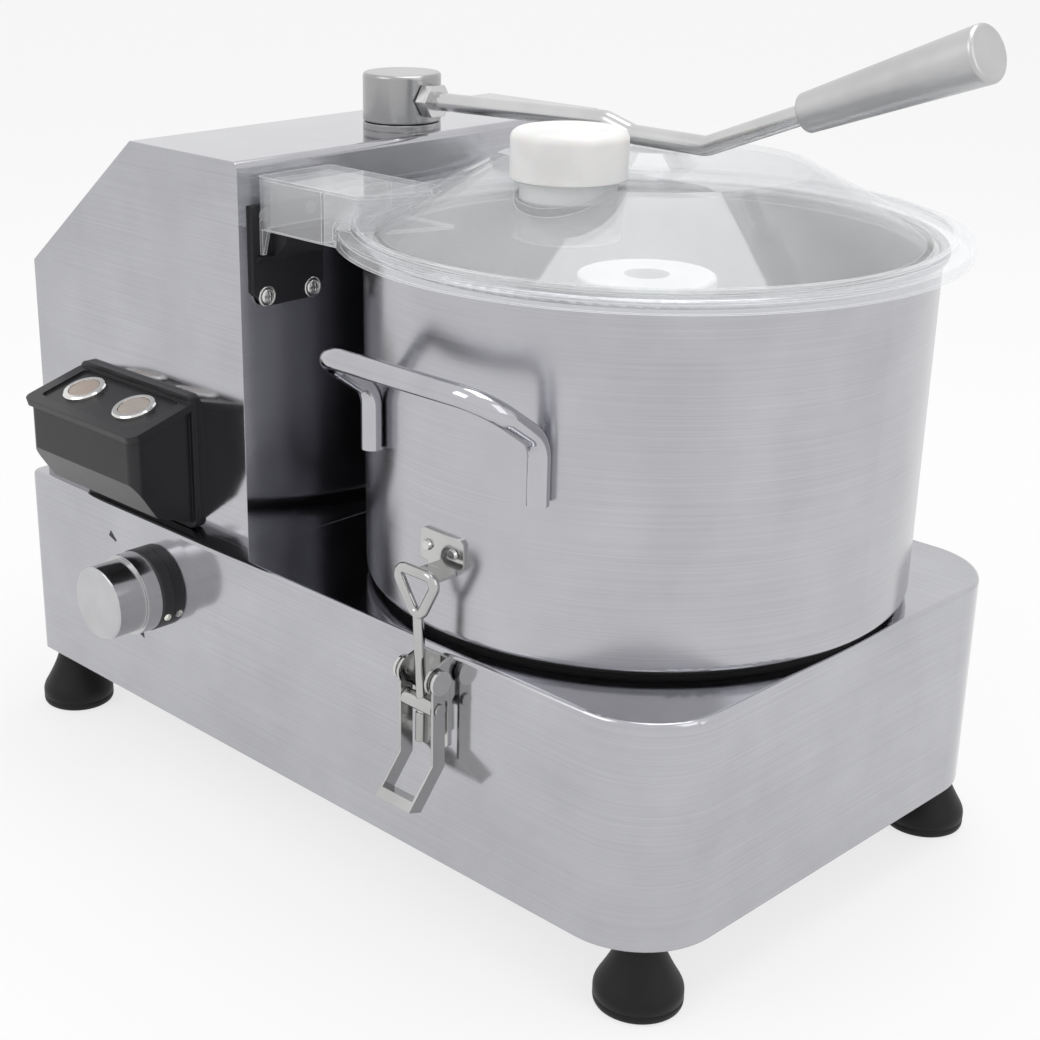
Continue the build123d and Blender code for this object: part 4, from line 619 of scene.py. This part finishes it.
class BOWLCUTTER_OT_button_box(bpy.types.Operator):
    """Finish the push-button box and the interlock bracket"""

    bl_idname = "bowl_cutter.button_box"
    bl_label = "Button box and bracket"

    def execute(self, context):
        plastic = settings().plastic
        black = moulded_plastic("black_box", plastic.black_colour, roughness=0.32, specular_ior_level=0.36)
        shade("control_box", finish=black)
        bracket = moulded_plastic("black_bracket", plastic.black_colour, roughness=0.5)
        shade("switch_bracket", "contact_blocks", "potentiometer", "safety_switch", finish=bracket)
        shade("button_bezels", finish=bright_metal("bezel_plate", (0.75, 0.74, 0.72), roughness=0.14))
        start = moulded_plastic("start_cap", (0.44, 0.38, 0.34), roughness=0.25, grain=700.0)
        shade("start_button", finish=start)
        stop = moulded_plastic("stop_cap", (0.44, 0.36, 0.31), roughness=0.25, grain=700.0)
        shade("stop_button", finish=stop)
        plate = bright_metal("screw_plate", (0.66, 0.65, 0.63), roughness=0.16)
        shade("bracket_screws", finish=plate)
        self.head_screws(plate)
        return {"FINISHED"}

    def head_screws(self, finish):
        """Cross-headed screws in cup washers below the tab, flush ones behind it."""
        low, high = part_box("bracket_screws")
        sheet_x = high.x - plated_head_height
        outward = Vector((1, 0, 0))
        radius = plated_head_radius
        for side, y in (("front", low.y + radius), ("rear", high.y - radius)):
            lower = Vector((sheet_x, y, low.z + radius))
            upper = Vector((sheet_x, y, high.z - radius / 2))
            seat = (lower, outward, "frame", "latch_steel")
            behind = (upper, outward, "frame", "latch_steel")
            head = cross_head(f"lower_screw_{side}", lower_head_radius, lower_head_dome, *seat)
            washer = turned_piece(f"cup_washer_{side}", washer_profile, *seat)
            flush = cross_head(f"upper_screw_{side}", radius, upper_head_dome, *behind)
            shade(head, washer, flush, finish=finish)


class BOWLCUTTER_OT_dial(bpy.types.Operator):
    """Finish the speed dial and mark its scale"""

    bl_idname = "bowl_cutter.dial"
    bl_label = "Speed dial"

    def execute(self, context):
        plastic = settings().plastic
        shade("knob", finish=turned_metal(
            "knob_metal", (0.54, 0.54, 0.55), roughness=0.18, across=(40.0, 1600.0, 40.0), edge=0.0008,
        ))
        shade("dial_plate", finish=moulded_plastic("dial_ring", plastic.black_colour, roughness=0.4))
        self.mark_scale()
        self.seat_grub_screw()
        return {"FINISHED"}

    def mark_scale(self):
        """Tapered scale marks printed on the base at both ends of the dial's travel."""
        ink = moulded_plastic("scale_ink", (0.02, 0.02, 0.022), roughness=0.5)
        printed = Vector((0, scale_mark_height, 0))
        for name, angle, inner, outer in scale_marks:
            along = Vector((math.cos(angle), 0, math.sin(angle)))
            across = Vector((-along.z, 0, along.x))
            front = dial_centre - printed
            corners = [
                front + inner * along - scale_mark_inner_half * across,
                front + outer * along - scale_mark_outer_half * across,
                front + outer * along + scale_mark_outer_half * across,
                front + inner * along + scale_mark_inner_half * across,
            ]
            backs = [corner + printed for corner in corners]
            sides = [(k, (k + 1) % 4, 4 + (k + 1) % 4, 4 + k) for k in range(4)]
            faces = [(3, 2, 1, 0), (4, 5, 6, 7), *sides]
            mark = mesh_piece(f"scale_mark_{name}", corners + backs, faces, "frame", False)
            shade(mark, finish=ink)

    def seat_grub_screw(self):
        """Small plated screw in the side of the dial's ring."""
        outward = Vector((math.cos(grub_screw_angle), 0, math.sin(grub_screw_angle)))
        radius = (dial_high.x - dial_low.x) / 2
        ring_middle = Vector((dial_centre.x, (dial_low.y + dial_high.y) / 2, dial_centre.z))
        seat = ring_middle + (radius - grub_screw_seat) * outward
        screw = cross_head(
            "dial_grub_screw", grub_screw_radius, grub_screw_dome, seat, outward, "frame", "latch_steel"
        )
        shade(screw, finish=bright_metal("grub_plate", (0.85, 0.83, 0.76), roughness=0.1))


class BOWLCUTTER_OT_latches(bpy.types.Operator):
    """Finish the over-centre latches"""

    bl_idname = "bowl_cutter.latches"
    bl_label = "Latches"

    def execute(self, context):
        sides = ("front", "rear")
        plate = bright_metal("latch_plate", (0.5, 0.5, 0.495), roughness=0.12, edge=0.0004)
        shade(*(f"{side}_{part}" for side in sides for part in ("lever", "hook", "barrel")), finish=plate)
        sheet = bright_metal("latch_sheet", (0.54, 0.54, 0.535), roughness=0.1, edge=0.0004)
        shade(*(f"{side}_{part}" for side in sides for part in ("keeper", "latch_base")), finish=sheet)
        rivets = bright_metal("rivet_plate", (0.62, 0.62, 0.61), roughness=0.1, edge=0.0004)
        shade("latch_pins", "latch_rivets", finish=rivets)
        thread = bright_metal("thread_plate", (0.42, 0.42, 0.41), roughness=0.2, edge=0.0)
        for side in sides:
            shade(self.cut_thread(side), finish=thread)
        return {"FINISHED"}

    def cut_thread(self, side):
        """Thread ridges on the hook's tail, from the barrel to the end."""
        low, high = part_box(f"{side}_barrel")
        barrel = (low + high) / 2
        low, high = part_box(f"{side}_hook")
        loop_y = high.y - hook_rod_radius if side == "front" else low.y + hook_rod_radius
        loop = Vector((barrel.x, loop_y, high.z - hook_rod_radius))
        axis = (barrel - loop).normalized()
        length = (barrel.z - low.z) / -axis.z - thread_end_gap
        outer = [
            (hook_rod_radius + lift, thread_start + thread_pitch * (turn + share))
            for turn in range(int((length - thread_start) / thread_pitch))
            for share, lift in thread_profile
        ]
        core = thread_core * hook_rod_radius
        ring = [*outer, (core, outer[-1][1]), (core, thread_start)]
        name = f"{side}_hook_thread"
        return turned_piece(name, ring, barrel, axis, f"{side}_loop", "latch_steel", sides=24)


class BOWLCUTTER_OT_feet(bpy.types.Operator):
    """Turn the flared rubber feet and finish them"""

    bl_idname = "bowl_cutter.feet"
    bl_label = "Feet"

    def execute(self, context):
        plastic = settings().plastic
        rubber = moulded_plastic(
            "foot_rubber", plastic.rubber_colour, roughness=0.5, grain=1000.0, specular_ior_level=0.25,
        )
        upward = Vector((0, 0, 1))
        for node in [name for name in nodes if name.startswith("foot_") and name != "foot_screws"]:
            low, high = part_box(node)
            place = Vector(((low.x + high.x) / 2, (low.y + high.y) / 2, low.z))
            name = f"moulded_{node}"
            foot = turned_piece(name, foot_profile, place, upward, "frame", "foot_rubber", sides=64)
            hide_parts(node)
            shade(nodes[node], foot, finish=rubber)
        return {"FINISHED"}


class BOWLCUTTER_OT_stage(bpy.types.Operator):
    """Set the floor, the lamps and the camera"""

    bl_idname = "bowl_cutter.stage"
    bl_label = "Studio"

    def execute(self, context):
        studio = settings().studio
        scene = context.scene
        self.lay_floor(studio)
        self.light_world(scene)
        self.hang_lamps(scene, studio)
        self.place_camera(scene, studio)
        scene.view_settings.view_transform = "Standard"
        return {"FINISHED"}

    def lay_floor(self, studio):
        reach = 6.0
        corners = [(-reach, -reach, 0), (reach, -reach, 0), (reach, reach, 0), (-reach, reach, 0)]
        mesh = bpy.data.meshes.new("studio_floor")
        mesh.from_pydata(corners, [], [(0, 1, 2, 3)])
        floor = bpy.data.objects.new("studio_floor", mesh)
        bpy.context.scene.collection.objects.link(floor)
        paper = Finish("floor_paper", roughness=0.9)
        grain = paper.noise(400.0)
        colour = rgba(studio.floor_colour)
        paper.feed("Base Color", paper.mix(grain, rgba([0.99 * c for c in colour[:3]]), colour))
        glow = paper.node("ShaderNodeEmission", None, {"Color": (1, 1, 1, 1), "Strength": 1.0})
        whiteness = 0.72 * paper.background_rays()
        paper.surface(paper.node("ShaderNodeMixShader", None, {0: whiteness, 1: paper.lit, 2: glow}))
        floor.data.materials.append(paper.material)

    def light_world(self, scene):
        """White behind everything that shows the backdrop, a soft gradient as light for the rest."""
        world = bpy.data.worlds.new("studio_world")
        scene.world = world
        world.use_nodes = True
        sky = Nodes(world.node_tree)
        direction = sky.node("ShaderNodeTexCoord", out="Generated")
        height = sky.node("ShaderNodeSeparateXYZ", None, {0: direction}, out="Z")
        levels = [(0.0, 0.55), (0.5, 0.5), (0.62, 0.7), (0.8, 0.95), (1.0, 0.75)]
        soft = sky.node("ShaderNodeValToRGB", None, {0: 0.5 + 0.5 * height}, stops=levels)
        white = (1, 1, 1, 1)
        seen = sky.background_rays()
        blend = sky.node("ShaderNodeMix", {"data_type": "RGBA"}, {0: seen, 6: soft, 7: white}, out=2)
        back = sky.node("ShaderNodeBackground", None, {0: blend})
        sky.node("ShaderNodeOutputWorld", None, {0: back}, out=None)

    def hang_lamps(self, scene, studio):
        lamps = (
            ("lamp_key", (-0.5, -1.6, 1.5), (0.0, 0.0, 0.2), 1.2, 1.0, 0.68 * studio.key_power),
            ("lamp_side", (1.7, 0.1, 1.0), (0.1, 0.0, 0.2), 0.9, 1.2, 0.3 * studio.key_power),
            ("lamp_top", (0.1, 0.3, 1.9), (0.0, 0.0, 0.3), 1.4, 1.0, 1.25 * studio.key_power),
        )
        for name, place, aim, width, depth, power in lamps:
            light = bpy.data.lights.new(name, "AREA")
            light.shape = "RECTANGLE"
            light.size = width
            light.size_y = depth
            light.energy = power
            lamp = bpy.data.objects.new(name, light)
            scene.collection.objects.link(lamp)
            lamp.location = Vector(place) + Vector((machine_x, machine_y, 0))
            gaze = Vector(aim) - Vector(place)
            lamp.rotation_euler = gaze.to_track_quat("-Z", "Y").to_euler()

    def place_camera(self, scene, studio):
        back = Vector((
            math.sin(studio.azimuth) * math.cos(studio.elevation),
            -math.cos(studio.azimuth) * math.cos(studio.elevation),
            math.sin(studio.elevation),
        ))
        right = Vector((0, 0, 1)).cross(back).normalized()
        rise = back.cross(right)
        tilted = math.cos(studio.roll) * right + math.sin(studio.roll) * rise
        upright = math.cos(studio.roll) * rise - math.sin(studio.roll) * right
        eye = Vector(studio.camera_place) + Vector((machine_x, machine_y, 0))
        camera = bpy.data.cameras.new("studio_camera")
        camera.sensor_width = 36
        camera.lens = studio.lens
        camera.shift_x = 0.101
        holder = bpy.data.objects.new("studio_camera", camera)
        scene.collection.objects.link(holder)
        holder.matrix_world = Matrix((
            (tilted.x, upright.x, back.x, eye.x),
            (tilted.y, upright.y, back.y, eye.y),
            (tilted.z, upright.z, back.z, eye.z),
            (0, 0, 0, 1),
        ))
        scene.camera = holder


operators = (
    BOWLCUTTER_OT_sheet_metal,
    BOWLCUTTER_OT_bowl,
    BOWLCUTTER_OT_lid,
    BOWLCUTTER_OT_spindle,
    BOWLCUTTER_OT_drive,
    BOWLCUTTER_OT_arm,
    BOWLCUTTER_OT_button_box,
    BOWLCUTTER_OT_dial,
    BOWLCUTTER_OT_latches,
    BOWLCUTTER_OT_feet,
    BOWLCUTTER_OT_stage,
)


class BOWLCUTTER_PT_sidebar(bpy.types.Panel):
    """Pieces and settings of the bowl cutter"""

    bl_label = "Bowl cutter"
    bl_idname = "BOWLCUTTER_PT_sidebar"
    bl_space_type = "VIEW_3D"
    bl_region_type = "UI"
    bl_category = "Bowl cutter"

    def draw(self, context):
        for group_name in ("sheet", "bowl", "plastic", "studio"):
            group = getattr(settings(), group_name)
            box = self.layout.box()
            for key in group.bl_rna.properties.keys():
                if key not in ("rna_type", "name"):
                    box.prop(group, key)
        for operator in operators:
            self.layout.operator(operator.bl_idname)


classes = (
    SheetMetalSettings,
    BowlSettings,
    PlasticSettings,
    StudioSettings,
    BowlCutterSettings,
    *operators,
    BOWLCUTTER_PT_sidebar,
)


def register():
    for cls in classes:
        bpy.utils.register_class(cls)
    bpy.types.Scene.bowl_cutter = PointerProperty(type=BowlCutterSettings)


def unregister():
    del bpy.types.Scene.bowl_cutter
    for cls in reversed(classes):
        bpy.utils.unregister_class(cls)


def main():
    register()
    bpy.ops.bowl_cutter.stage()
    bpy.ops.bowl_cutter.sheet_metal()
    bpy.ops.bowl_cutter.bowl()
    bpy.ops.bowl_cutter.lid()
    bpy.ops.bowl_cutter.spindle()
    bpy.ops.bowl_cutter.drive()
    bpy.ops.bowl_cutter.arm()
    bpy.ops.bowl_cutter.button_box()
    bpy.ops.bowl_cutter.dial()
    bpy.ops.bowl_cutter.latches()
    bpy.ops.bowl_cutter.feet()


if __name__ == "__main__":
    main()
